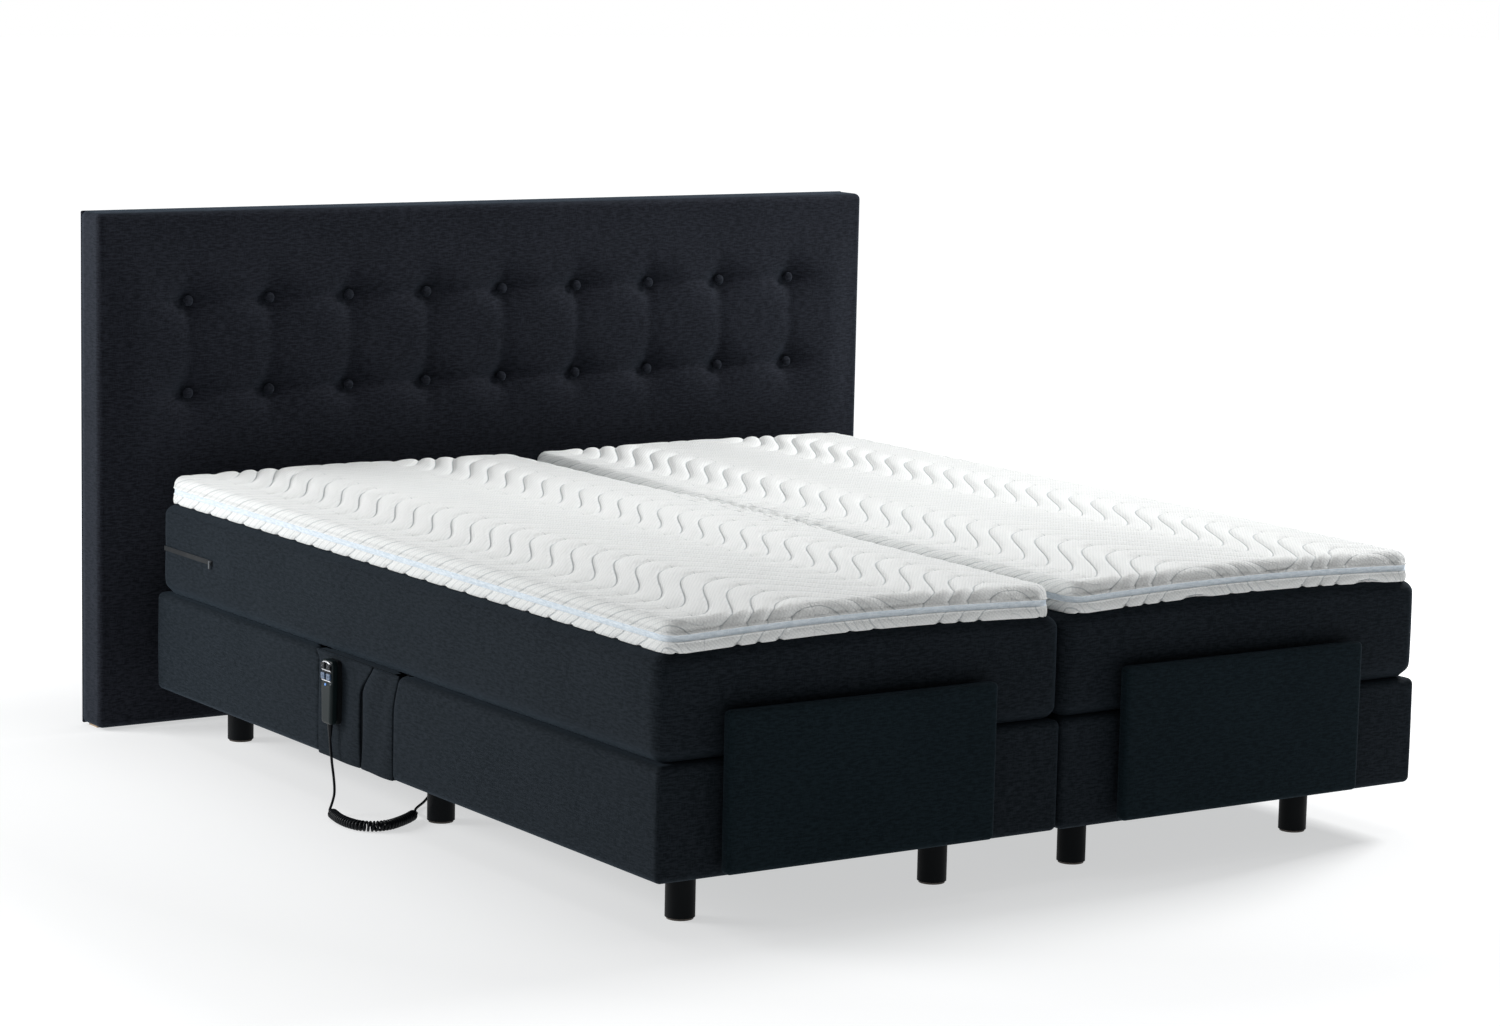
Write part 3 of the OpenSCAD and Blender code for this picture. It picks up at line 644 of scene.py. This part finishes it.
def mattress(side, sign):
    """One unit's mattress: bellied sides, an uneven cover, and a lower edge that draws in."""
    side_belly, end_belly, undercut_depth = 0.0045, 0.0035, 0.011
    low, high = outward_box(f"{side}_mattress_foot", f"{side}_mattress_head")
    points, faces, out = soft_box(low, high, radii=(0.030, 0.034, 0.024), steps=(0.014, 0.014, 0.011),
                                  turns=4, extra=((), [CUT], ()))
    x, y, z = points.T
    level = share(z, low[2], high[2])
    belly = hump(level, 0.8)
    outward = np.clip(out[:, 0], 0, 1)
    between_ends = ramp(y, low[1], low[1] + 0.12) * (1 - ramp(y, high[1] - 0.12, high[1]))
    side_push = side_belly * belly * outward * (0.35 + 0.65 * between_ends)
    end_push = end_belly * belly * np.abs(out[:, 1]) * hump(share(x, low[0], high[0]), 0.5)
    lumps = wobble(points, 0.34, 2.0 + sign) * 0.0012 + wobble(points, 0.11, 5.0) * 0.0005
    if side == "left":            # the zip draws the cover in
        side_push *= 1 - 0.95 * bell(z, ZIP_LEVEL, 0.028) * ramp(y, 0.58, 0.68)
    free = np.clip(outward + np.abs(out[:, 1]), 0, 1)
    undercut = undercut_depth * (1 - ramp(z, low[2], low[2] + 0.030)) * free
    points = points + out * (side_push + end_push + lumps * free)[:, None]
    points[:, 0] -= undercut * outward
    points[:, 1] -= undercut * out[:, 1]
    points[:, 2] += lift(x, y, low[0], high[0]) * level
    points[:, 0] *= sign
    two_parts("mattress", side, points, faces[:, ::sign], [mattress_cloth], "mattress_fabric")


# -------- topper

QUILT_PITCH = {"left": 0.0780, "right": 0.0755}
QUILT_START = {"left": (-0.70, -0.84), "right": (0.20, -0.82)}     # a point of one stitch line
WAVE, SWING, DRIFT, WAVE_START = 0.445, 0.118, 0.175, 0.20         # the stitch lines' course across the bed
STITCH_WIDTH = 0.0048
ROUND = 0.022                     # radius over the top edge
CORNER = 0.036                    # corner radius in plan
SEAMS = (0.0202, 0.0338)          # heights of the two seams that hold the plain band between them
SEAM_LINES = (-0.0024, -0.0012, 0, 0.0012, 0.0026)
TOP_DEPTH, LOWER_DEPTH = 0.0072, 0.0050      # of the stitch lines in the top and in the lower border
SEAM_RIDGE, BAND_DEPTH, LOWER_BELLY = 0.0015, 0.0010, 0.0022
# How far each inner edge stands in from its CAD line, below 0, or out over the gap, along the bed
EDGE_PLACES = [-1.08, -0.80, -0.45, -0.28, 0.02, 0.19, 0.45, 0.94]
EDGE_SHIFT = {"left": [-0.012, -0.010, -0.006, 0.0145, 0.0145, 0.0145, -0.002, -0.008],
              "right": [-0.004, -0.002, 0.000, 0.0145, 0.0145, 0.0145, -0.004, -0.018]}


def stitch_line(x):
    """How far along the bed a stitch line lies at x, and the line's slope there."""
    turn = 2 * math.pi * (x - WAVE_START) / WAVE
    return SWING * np.sin(turn) + DRIFT * x, SWING * 2 * math.pi / WAVE * np.cos(turn) + DRIFT


def quilting(x, y, side):
    """Height of the quilting from 0 on its cushions to -1 in the stitch lines, and the two "quilt" UVs."""
    start_x, start_y = QUILT_START[side]
    course, slope = stitch_line(x)
    lines = (y - start_y + stitch_line(start_x)[0] - course) / QUILT_PITCH[side]
    spacing = QUILT_PITCH[side] / np.sqrt(1 + slope ** 2)
    near = np.abs(lines - np.round(lines))
    cushion = np.sin(math.pi * near) ** 0.8
    groove = 1 - np.exp(-(near * spacing / STITCH_WIDTH) ** 2)
    strength = 0.40 + 0.60 * ramp(slope, -0.9, 0.7)
    return (0.62 * cushion + 0.38 * groove - 1) * strength, lines, spacing * np.sign(slope)


def topper(side, sign):
    """One half of the topper: a quilted top that rolls over a round edge, a border with a plain band, and a
    quilted lower border. It is laid out flat first, with every point's distance from the edge kept."""
    low, high = outward_box(f"{side}_topper_foot", f"{side}_topper_head")
    inner, outer = low[0], high[0]
    height = high[2] - low[2]
    rim = [ROUND * (1 - math.cos(math.radians(angle))) for angle in range(0, 91, 18)] + [CORNER]
    levels = [0, 0.002, 0.006, 0.011, 0.0155, *(SEAMS[0] + gap for gap in SEAM_LINES), 0.0270,
              *(SEAMS[1] - gap for gap in SEAM_LINES[::-1]), height - ROUND, height]
    lengthways = lattice(low[1], high[1], 0.0048, rim, [CUT])
    from_cut = np.abs(lengthways - CUT)
    lengthways = lengthways[(from_cut > 0.0016) | (from_cut < TINY)]
    points, faces = surface([lattice(inner, outer, 0.0048, rim), lengthways, np.array(levels)])
    x, y, z = points.T
    top, bottom = z > height - TINY, z < TINY

    inner_x = np.clip(x, inner + CORNER, outer - CORNER)
    inner_y = np.clip(y, low[1] + CORNER, high[1] - CORNER)
    out = np.stack([x - inner_x, y - inner_y], axis=1) / CORNER
    reach = np.abs(out).max(axis=1)
    length = np.linalg.norm(out, axis=1)[:, None]
    way = np.where(length > TINY, out / np.maximum(length, TINY), 0)
    flat_x = inner_x + CORNER * reach * way[:, 0]
    flat_y = inner_y + CORNER * reach * way[:, 1]
    edge = np.clip(1 - CORNER * (1 - reach) / ROUND, 0, 1)
    z = np.where(top, height - ROUND + ROUND * np.sqrt(1 - edge ** 2), z)
    tilt = np.where(top, edge, np.where(bottom, 0, 1))
    depth = height - z

    quilt, lines, spacing = quilting(sign * (flat_x + way[:, 0] * depth), flat_y + way[:, 1] * depth, side)
    above = np.where(top, 1.0, ramp(z, 0.0345, 0.040))
    below = np.where(bottom, 0.0, 1 - ramp(z, 0.0165, 0.0195))
    ridges = SEAM_RIDGE * (bell(z, SEAMS[0], 0.0011) + bell(z, SEAMS[1], 0.0011))
    groove = BAND_DEPTH * ramp(z, 0.021, 0.0225) * (1 - ramp(z, 0.032, 0.0335))
    push = (TOP_DEPTH * quilt * above + below * (LOWER_BELLY * hump(z / 0.019, 0.6) + LOWER_DEPTH * quilt)
            + np.where(top | bottom, 0, ridges - groove))
    new_x = flat_x + way[:, 0] * push * tilt
    new_y = flat_y + way[:, 1] * push * tilt
    notch = bell(lines - np.round(lines), 0, 0.10) * (1 - ramp(z, 0.0, 0.014)) * np.where(bottom, edge, 1)
    z = z + push * np.where(top, np.sqrt(1 - tilt ** 2), 0) + 0.0042 * notch

    shift = np.interp(flat_y, EDGE_PLACES, EDGE_SHIFT[side])
    new_x = new_x - shift * (1 - ramp(flat_x, inner, inner + 0.16))
    joined_here = ramp(flat_y, -0.33, -0.24) * (1 - ramp(flat_y, 0.15, 0.26))
    pucker = np.sin(2 * math.pi * flat_y / 0.041 + 1.1 * np.sin(flat_y * 37)) * bell(flat_x, inner, 0.05)
    z = z + 0.0034 * pucker * joined_here * np.where(top, 1, 0)
    z = z + lift(new_x, new_y, 0.0015, 0.8985) * 0.98 + low[2]
    face_level = (height - depth)[faces]
    band = (face_level.min(axis=1) > SEAMS[0] + 0.0003) & (face_level.max(axis=1) < SEAMS[1] - 0.0003)
    two_parts("topper", side, np.stack([sign * new_x, new_y, z], axis=1), faces[:, ::sign],
              [topper_cloth, topper_band], "topper_knit", band.astype(int),
              np.stack([lines, spacing], axis=1))


# -------- upholstered base sections

WALL = 0.018
EDGE = 0.013                      # radius of the padded edges
DECK = 0.030                      # thickness of a section's top
SLANT_FROM = 0.296


def slant(z, part):
    """How far a section's hinge end leans back near its top, so that it clears the seat."""
    if part == "head":
        return 0.0205 * np.clip((z - SLANT_FROM) / 0.018, 0, 1)
    return 0.0250 * np.clip((z - 0.238) / 0.076, 0, 1) ** 1.4


def hollow_box(lines, is_empty):
    """The skin of a lattice box without the cells whose middles is_empty picks."""
    middles = [(line[:-1] + line[1:]) / 2 for line in lines]
    return surface(lines, ~is_empty(*np.meshgrid(*middles, indexing="ij")))


def section(side, part, sign):
    """A tilting section's upholstered box, open below and at its hinge. Y is counted from the hinge."""
    low, high = outward_box(f"{side}_{part}_box", f"{side}_{part}_box")
    inner, outer = low[0], high[0]
    way = 1 if part == "head" else -1
    hinge = HINGES[part]
    near = 0.0015
    length = abs((high[1] if part == "head" else low[1]) - hinge)
    ends = arc_lines(EDGE, 4)
    lines = [
        lattice(inner, outer, 0.02, ends, [inner + WALL, outer - WALL]),
        lattice(near, length, 0.02, ends, [WALL, length - WALL]),
        lattice(low[2], high[2], 0.012, ends, [high[2] - DECK, SLANT_FROM]),
    ]
    points, faces = hollow_box(lines, lambda x, y, z: (x > inner + WALL) & (x < outer - WALL) & (
        ((y < length - WALL) & (z < high[2] - DECK)) | (y < WALL)))
    skin = on_skin(points, (inner, near, low[2]), (outer, length, high[2]))[:, None]
    moved, out = rounded(points, (inner, near - 0.010, low[2]), (outer, length, high[2]), (EDGE, EDGE, EDGE))
    points = np.where(skin, moved, points)
    out = np.where(skin, out, 0)
    x, y, z = points.T
    level = share(z, low[2], high[2])
    swell = 0.0030 * hump(level, 0.7) * hump(share(y, near, length), 0.35)
    swell += 0.0008 * wobble(points, 0.22, 3.0 + way) * hump(level)
    facing = np.clip(out[:, 0], 0, 1) + np.clip(out[:, 1], 0, 1) * hump(share(x, inner, outer), 0.4)
    points = points + out * (swell * np.clip(facing, 0, 1))[:, None]
    points[:, 1] += slant(points[:, 2], part) * (1 - ramp(points[:, 1], near, near + 0.06))
    points[:, 1] = hinge + way * points[:, 1]
    points[:, 0] *= sign
    fitted(f"{side}_{part}", f"{side}_{part}_base", (points, faces[:, ::sign * way]), base_cloth,
           "base_fabric", f"{side}_{part}_box")


# -------- pleats at the sides of the seat

UNIT_MIDDLE = 0.45
PLEAT_FACE = 0.4484               # from the unit's middle to a pleat's outer face
PLEAT_THICK = 0.0046
PLEAT_LEVELS = (0.100, 0.313)
PLEAT_ENDS = {"head": (CUT + 0.0016, HINGES["head"] - 0.0045), "foot": (HINGES["foot"] + 0.001, CUT - 0.0006)}


def pleat(side, part, sign):
    """The two soft fabric panels that close the sides of the seat section next to one hinge."""
    bottom, top = PLEAT_LEVELS
    first, last = PLEAT_ENDS[part]
    parts = []
    for facing in (1, -1):
        points, faces, out = soft_box((PLEAT_FACE - PLEAT_THICK, first, bottom), (PLEAT_FACE, last, top),
                                      (0.0018, 0.004, 0.004), (0.002, 0.006, 0.008), 2)
        z = points[:, 2]
        level = (z - bottom) / (top - bottom)
        t = (points[:, 1] - first) / (last - first)
        room = 0.004 if facing == sign else 0.0
        puff = room * hump(t, 0.6) + 0.35 * room * np.sin(2.2 * math.pi * t + 3.0 * level)
        points[:, 0] += np.where(points[:, 0] > PLEAT_FACE - PLEAT_THICK / 2, puff, 0)
        pinch = 0.0095 * hump(level * 1.15, 0.8) + 0.0006
        bend = 0.052 * ramp(level, 0.70, 1.06)
        if part == "head":
            points[:, 1] += (1 - t) * (0.3 * pinch - bend) + t * 0.85 * slant(z, part)
        else:
            points[:, 1] -= t * (bend + pinch) + (1 - t) * 0.93 * slant(z, part)
        points[:, 0] = sign * UNIT_MIDDLE + facing * points[:, 0]
        parts.append((points, faces[:, ::facing]))
    points, faces = joined(*parts)
    made = piece(f"{side}_{part}_pleat", points, faces, [pleat_cloth], "pleat_fabric")
    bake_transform(made)
    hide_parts("seat_pleats")


# -------- mattress retainers

def retainer(side):
    """A flat padded panel at the foot end with a piped edge along its top and sides."""
    low, high = node_box(f"{side}_retainer")
    points, faces, out = soft_box(low, high, (0.010, 0.007, 0.010), (0.012, 0.008, 0.012), 3)
    across, level = share(points[:, 0], low[0], high[0]), share(points[:, 2], low[2], high[2])
    crown = (hump(across) * hump(level)) ** 0.4
    points[:, 1] -= np.clip(-out[:, 1], 0, 1) * crown * (0.0022 + 0.0006 * wobble(points, 0.2, 7.0))
    pad = fitted(f"{side}_foot", f"{side}_retainer_pad", (points, faces), retainer_cloth, "retainer_fabric",
                 f"{side}_retainer")
    inset, corner = 0.0035, 0.010
    edge_y, end_z = low[1] + 0.0045, low[2] + 0.012
    path = [[low[0] + inset, edge_y, end_z]]
    for centre_x, start in ((low[0] + corner, 180), (high[0] - corner, 90)):
        for angle in np.radians(np.linspace(start, start - 90, 7)):
            path.append([centre_x + (corner - inset) * math.cos(angle), edge_y,
                         high[2] - corner + (corner - inset) * math.sin(angle)])
    path.append([high[0] - inset, edge_y, end_z])
    fitted(f"{side}_foot", f"{side}_retainer_piping", tube(path, 0.0016), edge_cloth, "retainer_fabric")


# -------- headboard

BUTTON_PITCH = 0.198
BUTTON_ROWS = (0.736, 0.939)
BUTTON_SIDES = 28
BUTTON_SINK = 0.0062
# Radius and depth behind the rim, from the middle of the cap to the end of the shank
BUTTON_PROFILE = [(0.0, -0.0058), (0.0040, -0.0055), (0.0075, -0.0046), (0.0102, -0.0030), (0.0116, -0.0010),
                  (0.0118, 0.0008), (0.0108, 0.0024), (0.0088, 0.0036), (0.0050, 0.0060), (0.0040, 0.0120)]


def tufted(x, z):
    """How far the headboard's face stands back: dimples, creases along the rows and up between them."""
    low_row, high_row = BUTTON_ROWS
    nearest = np.clip(np.round(x / BUTTON_PITCH), -4, 4) * BUTTON_PITCH
    at_button = 0.55 + 0.45 * np.cos(2 * math.pi * x / BUTTON_PITCH)
    among_buttons = 1 - ramp(np.abs(x), 0.80, 0.90)
    pull = np.zeros(len(x))
    for row in BUTTON_ROWS:
        far = np.hypot(x - nearest, z - row)
        pull += 0.0120 * np.exp(-(far / 0.020) ** 1.3) + 0.0070 * np.exp(-(far / 0.055) ** 2)
        crease = np.exp(-(np.abs(z - row) / 0.019) ** 1.3)
        pull += 0.0115 * crease * (0.40 + 0.60 * at_button) * among_buttons
    span = ramp(z, low_row - 0.13, low_row) * (1 - ramp(z, high_row, high_row + 0.13))
    middle = ramp(z, low_row - 0.01, low_row + 0.02) * (1 - ramp(z, high_row - 0.02, high_row + 0.01))
    waist = 0.55 + 0.45 * np.cos(2 * math.pi * (z - low_row) / (high_row - low_row))
    upright = np.exp(-(np.abs(x - nearest) / 0.017) ** 1.5) * span * (0.35 + 0.65 * middle)
    pull += 0.0060 * upright * np.where(middle > 0.5, 0.5 + 0.5 * waist, 1)
    return pull - 0.0125 * ramp(z, low_row - 0.30, low_row) * (1 - ramp(z, high_row, high_row + 0.16))


def headboard_padding():
    """The tufted front padding, whose cover wraps on over the board's top and sides."""
    low, high = node_box("headboard_padding")
    board_low, board_high = node_box("headboard_board")
    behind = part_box("headboard_back_cover")[0][1] - 0.0005
    spare = 0.0008
    board_low, board_high = board_low - spare, board_high + spare
    front_of_board = high[1] + spare
    soft = (0.014, 0.016, 0.014)
    lines = [
        lattice(low[0], high[0], 0.0065, arc_lines(soft[0], 4), [board_low[0], board_high[0]]),
        lattice(low[1], behind, 0.014, (0,), [front_of_board, *(low[1] + np.array(arc_lines(soft[1], 4)))]),
        lattice(low[2], high[2], 0.0065, arc_lines(soft[2], 4), [board_high[2]]),
    ]
    points, faces = hollow_box(lines, lambda x, y, z: (x > board_low[0]) & (x < board_high[0])
                               & (y > front_of_board) & (z < board_high[2]))
    skin = on_skin(points, low, (high[0], math.inf, high[2]))[:, None]
    moved, out = rounded(points, low, (high[0], behind + soft[1], high[2]), soft)
    x, y, z = points.T
    border = (ramp(np.minimum(x - low[0], high[0] - x), 0.0, 0.10)
              * ramp(np.minimum(z - low[2], high[2] - z), 0.0, 0.09))
    front = np.where(y < high[1] - 0.01, np.clip(-out[:, 1], 0, 1), 0)
    points = np.where(skin, moved, points)
    uneven = 0.0007 * wobble(points, 0.3, 4.0)
    points[:, 1] += front * (tufted(points[:, 0], points[:, 2]) * border + uneven)
    pad = fitted("root", "headboard_pad", (points, faces), back_cloth, "headboard_fabric",
                 "headboard_padding")


def headboard_cover():
    """The thin fabric-covered back panel, with a soft rolled edge."""
    low, high = node_box("headboard_back_cover")
    points, faces, out = soft_box(low, high, (0.0035, 0.0035, 0.0035), (0.05, 0.004, 0.05), 3)
    points[:, 1] += 0.0006 * wobble(points, 0.5, 9.0) * np.clip(out[:, 1], 0, 1)
    fitted("root", "headboard_back", (points, faces), back_cloth, "headboard_fabric", "headboard_back_cover")


def button(x, z):
    """A covered button: a domed cap over a short shank, drawn into the padding."""
    rim_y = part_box("headboard_buttons")[0][1] + BUTTON_SINK
    turns = [2 * math.pi * turn / BUTTON_SIDES for turn in range(BUTTON_SIDES)]
    points = [[x, rim_y + BUTTON_PROFILE[0][1], z]]
    points += [[x + radius * math.cos(angle), rim_y + depth, z + radius * math.sin(angle)]
               for radius, depth in BUTTON_PROFILE[1:] for angle in turns]
    last = len(points) - BUTTON_SIDES
    faces = []
    for turn in range(BUTTON_SIDES):
        after = (turn + 1) % BUTTON_SIDES
        faces.append([0, 1 + turn, 1 + after])
        for base in range(1, last, BUTTON_SIDES):
            following = base + BUTTON_SIDES
            faces.append([base + turn, following + turn, following + after, base + after])
    faces.append([last + turn for turn in range(BUTTON_SIDES)][::-1])
    return points, faces


def headboard_buttons():
    """All the buttons, as one piece."""
    caps = joined(*(button(column * BUTTON_PITCH, row) for row in BUTTON_ROWS for column in range(-4, 5)))
    fitted("root", "headboard_button_caps", caps, back_cloth, "headboard_fabric", "headboard_buttons")


# -------- handset

PANEL_INSET = 0.0022              # the key panel lies this far behind the handset's face
PANEL_HALF = 0.0195
TRIM_HALF = 0.0185
LAMP_RADIUS = 0.0016


def case_half(name, node, material, slot, front):
    """The front or rear half of the case, narrower towards its foot, the front stepped back at the keys."""
    low, high = node_box(node)
    centre = (low[1] + high[1]) / 2
    soft = (0.0050, 0.0085, 0.0090)
    if front:
        inwards = lattice(low[0], high[0], 0.0016, arc_lines(soft[0], 3))
        inwards = np.append(inwards[inwards < high[0] - soft[0] + TINY], high[0])
        near, far = low[0], high[0] + soft[0]
    else:
        inwards = lattice(low[0], high[0], 0.002)
        near, far = low[0] - 1, high[0] + 1
    points, faces = surface([inwards, lattice(low[1], high[1], 0.0025, arc_lines(soft[1], 4)),
                             lattice(low[2], high[2], 0.003, arc_lines(soft[2], 4))])
    flat_back = points[:, 0] > high[0] - TINY
    points, out = rounded(points, (near, low[1], low[2]), (far, high[1], high[2]), soft)
    t = (points[:, 2] - low[2]) / (high[2] - low[2])
    points[:, 0] = np.where(flat_back, high[0], points[:, 0])
    points[:, 1] = centre + (points[:, 1] - centre) * (1 - 0.10 * (1 - ramp(t, 0.05, 0.62)))
    if front:
        points[:, 0] += np.clip(-out[:, 0], 0, 1) * PANEL_INSET * ramp(t, 0.62, 0.66)
    fitted("root", name, (points, faces), material, slot, node)


def handset():
    """The case with its key panel, bright trim strips and signal lamp."""
    case_half("handset_rear", "handset_back", handset_dark, "handset_case", False)
    case_half("handset_grip", "handset_front", handset_gloss, "handset_face", True)
    low, high = node_box("handset_front")
    face = low[0] + PANEL_INSET
    centre = (low[1] + high[1]) / 2
    keys_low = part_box("key_head_down")[0][2] - 0.004
    panel = soft_box((face - 0.0004, centre - PANEL_HALF, keys_low),
                     (face + 0.0030, centre + PANEL_HALF, high[2] - 0.0025),
                     (0.0008, 0.008, 0.008), (0.002, 0.002, 0.002), 3)
    fitted("root", "handset_key_panel", panel[:2], handset_panel, "handset_face")

    arch = [[face - 0.0008, centre + TRIM_HALF * math.sin(angle), high[2] - 0.0105 + 0.0075 * math.cos(angle)]
            for angle in np.radians(np.linspace(-80, 80, 15))]
    strips = [tube(arch, 0.0015)]
    for key in ("key_head_up", "key_head_down"):
        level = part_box(key)[0][2] - 0.0024
        bar = [[face - 0.0006, y, level] for y in np.linspace(centre - TRIM_HALF, centre + TRIM_HALF, 9)]
        strips.append(tube(bar, 0.0012))
    fitted("root", "handset_trim", joined(*strips), chrome, "bright_steel")

    lamp_z = keys_low - 0.006
    ring = [[face - 0.0030, centre + LAMP_RADIUS * math.cos(angle), lamp_z + LAMP_RADIUS * math.sin(angle)]
            for angle in np.linspace(0, 2 * math.pi, 13)[:-1]]
    lens = surface([np.array([face - 0.0034, face - 0.0018])] + [
        lattice(edge, edge + 0.0026, 0.0013) for edge in (centre - 0.0013, lamp_z - 0.0013)])
    fitted("root", "handset_lamp", joined(tube(ring, 0.0010, closed=True), lens), lamp_blue, "handset_face")


def keycap(node, material, slot, way):
    """A soft-edged key with a raised arrow, in place of the plain CAD key. way is 1 up or -1 down."""
    low, high = node_box(node)
    points, faces, out = soft_box(low, high, (0.0012, 0.0026, 0.0026), (0.0012, 0.0012, 0.0012), 3)
    points[:, 0] += np.clip(-out[:, 0], 0, 1) * 0.0005 * hump(share(points[:, 1], low[1], high[1]))
    fitted(f"{node}_body", f"{node}_cap", (points, faces), material, slot, node)
    x, (y, z) = low[0] + 0.0002, (low + high)[1:] / 2
    arrow = [[x, y - 0.0028, z - 0.0013 * way], [x, y, z + 0.0015 * way], [x, y + 0.0028, z - 0.0013 * way]]
    fitted(f"{node}_body", f"{node}_mark", tube(arrow, 0.0005), mark_grey, slot)


# -------- everything put together

for side, sign in SIDES.items():
    mattress(side, sign)
    topper(side, sign)
    retainer(side)
    for part in PARTS:
        section(side, part, sign)
        pleat(side, part, sign)
headboard_padding()
headboard_cover()
headboard_buttons()
handset()
for row, material, slot, way in (("up", key_rubber, "key_dark", 1), ("down", key_blue, "key_blue", -1)):
    for column in PARTS:
        keycap(f"key_{column}_{row}", material, slot, way)


# -------- CAD nodes that stay as they are

FINISHES = {
    frame_paint: ["side_rails", "cross_rails", "hinge_cheeks", "headboard_brackets"],
    bright_steel: ["hinge_pins", "headboard_bolts", "drive_motors"],
    drive_plastic: ["drive_housings", "drive_covers"], nylon: [], black_plastic: ["legs"],
    # The near-black cloth on the seat boxes is painted shade in the gaps beside the pleats.
    glide_felt: ["leg_glides"], seat_gap_shade: ["seat_boxes"], board_wood: ["headboard_board"],
    cord_plastic: ["strain_relief"], zip_nylon: ["zip_tape"], zip_metal: ["zip_slider"],
}
for side in SIDES:
    for part in PARTS:
        FINISHES[frame_paint] += [f"{side}_{part}_rails", f"{side}_{part}_tube"]
        FINISHES[nylon].append(f"{side}_{part}_slider")
for material, names in FINISHES.items():
    for name in names:
        data = nodes[name].data
        data.materials.clear()
        data.materials.append(material)


# -------- floor, world and lights

def lay_floor():
    """A pale floor with painted light: it glows, less near the bed and up to plain white away from it, as in
    a studio cutout.
    """
    material, tree, shader, point = paint("floor_white", (0.5, 0.5, 0.5), 0.6, Specular_IOR_Level=0.1)
    colour_in(tree, shader, noise(tree, point, 1.3, 3.0), (0.46, 0.465, 0.47), (0.49, 0.49, 0.49))
    away = node(tree, "VectorMath", {0: stretch(tree, point, (1.0, 0.85, 1.0))}, "Value", operation="LENGTH")
    # Painted light: the floor's emission, lower near the bed and higher away from it.
    glow = maths(tree, "SMOOTH_MIN", spread(tree, away, 1.6, 3.6, 0.58, 1.05), 1.0, 0.1)
    shader.inputs["Emission Color"].default_value = (0.985, 0.995, 1, 1)
    link(tree, glow, shader.inputs["Emission Strength"])
    far = 40
    corners = [[-far, -far, 0], [far, -far, 0], [far, far, 0], [-far, far, 0]]
    mesh = bpy.data.meshes.new("floor")
    mesh.from_pydata(corners, [], [[0, 1, 2, 3]])
    mesh.materials.append(material)
    floor = bpy.data.objects.new("floor", mesh)
    bpy.context.collection.objects.link(floor)


def light_world(seen, felt):
    """A white surround: seen by the camera at one strength, lighting the scene at another."""
    world = bpy.data.worlds.new("surround")
    bpy.context.scene.world = world
    world.use_nodes = True
    tree = world.node_tree
    shader = tree.nodes["Background"]
    shader.inputs["Color"].default_value = (1, 1, 1, 1)
    seen_by_camera = node(tree, "LightPath", {}, "Is Camera Ray")
    link(tree, spread(tree, seen_by_camera, 0.0, 1.0, felt, seen), shader.inputs["Strength"])


def softbox(name, stands_at, aim, size, power):
    """A white rectangular light turned towards a point."""
    data = bpy.data.lights.new(name, "AREA")
    data.shape = "RECTANGLE"
    data.size, data.size_y = size
    data.energy = power
    made = bpy.data.objects.new(name, data)
    made.location = stands_at
    made.rotation_euler = (Vector(aim) - Vector(stands_at)).to_track_quat("-Z", "Y").to_euler()
    bpy.context.collection.objects.link(made)


lay_floor()
light_world(seen=1.0, felt=0.15)
softbox("key", (3.9, 0.1, 2.9), aim=(0.0, 0.2, 0.5), size=(1.3, 1.3), power=198)
softbox("overhead", (0.3, 0.4, 4.2), aim=(0.1, 0.1, 0.3), size=(4.0, 3.4), power=78)
softbox("left", (-4.3, 3.0, 1.9), aim=(-0.5, 0.6, 0.5), size=(2.4, 2.0), power=210)

scene = bpy.context.scene
scene.view_settings.view_transform = "Standard"
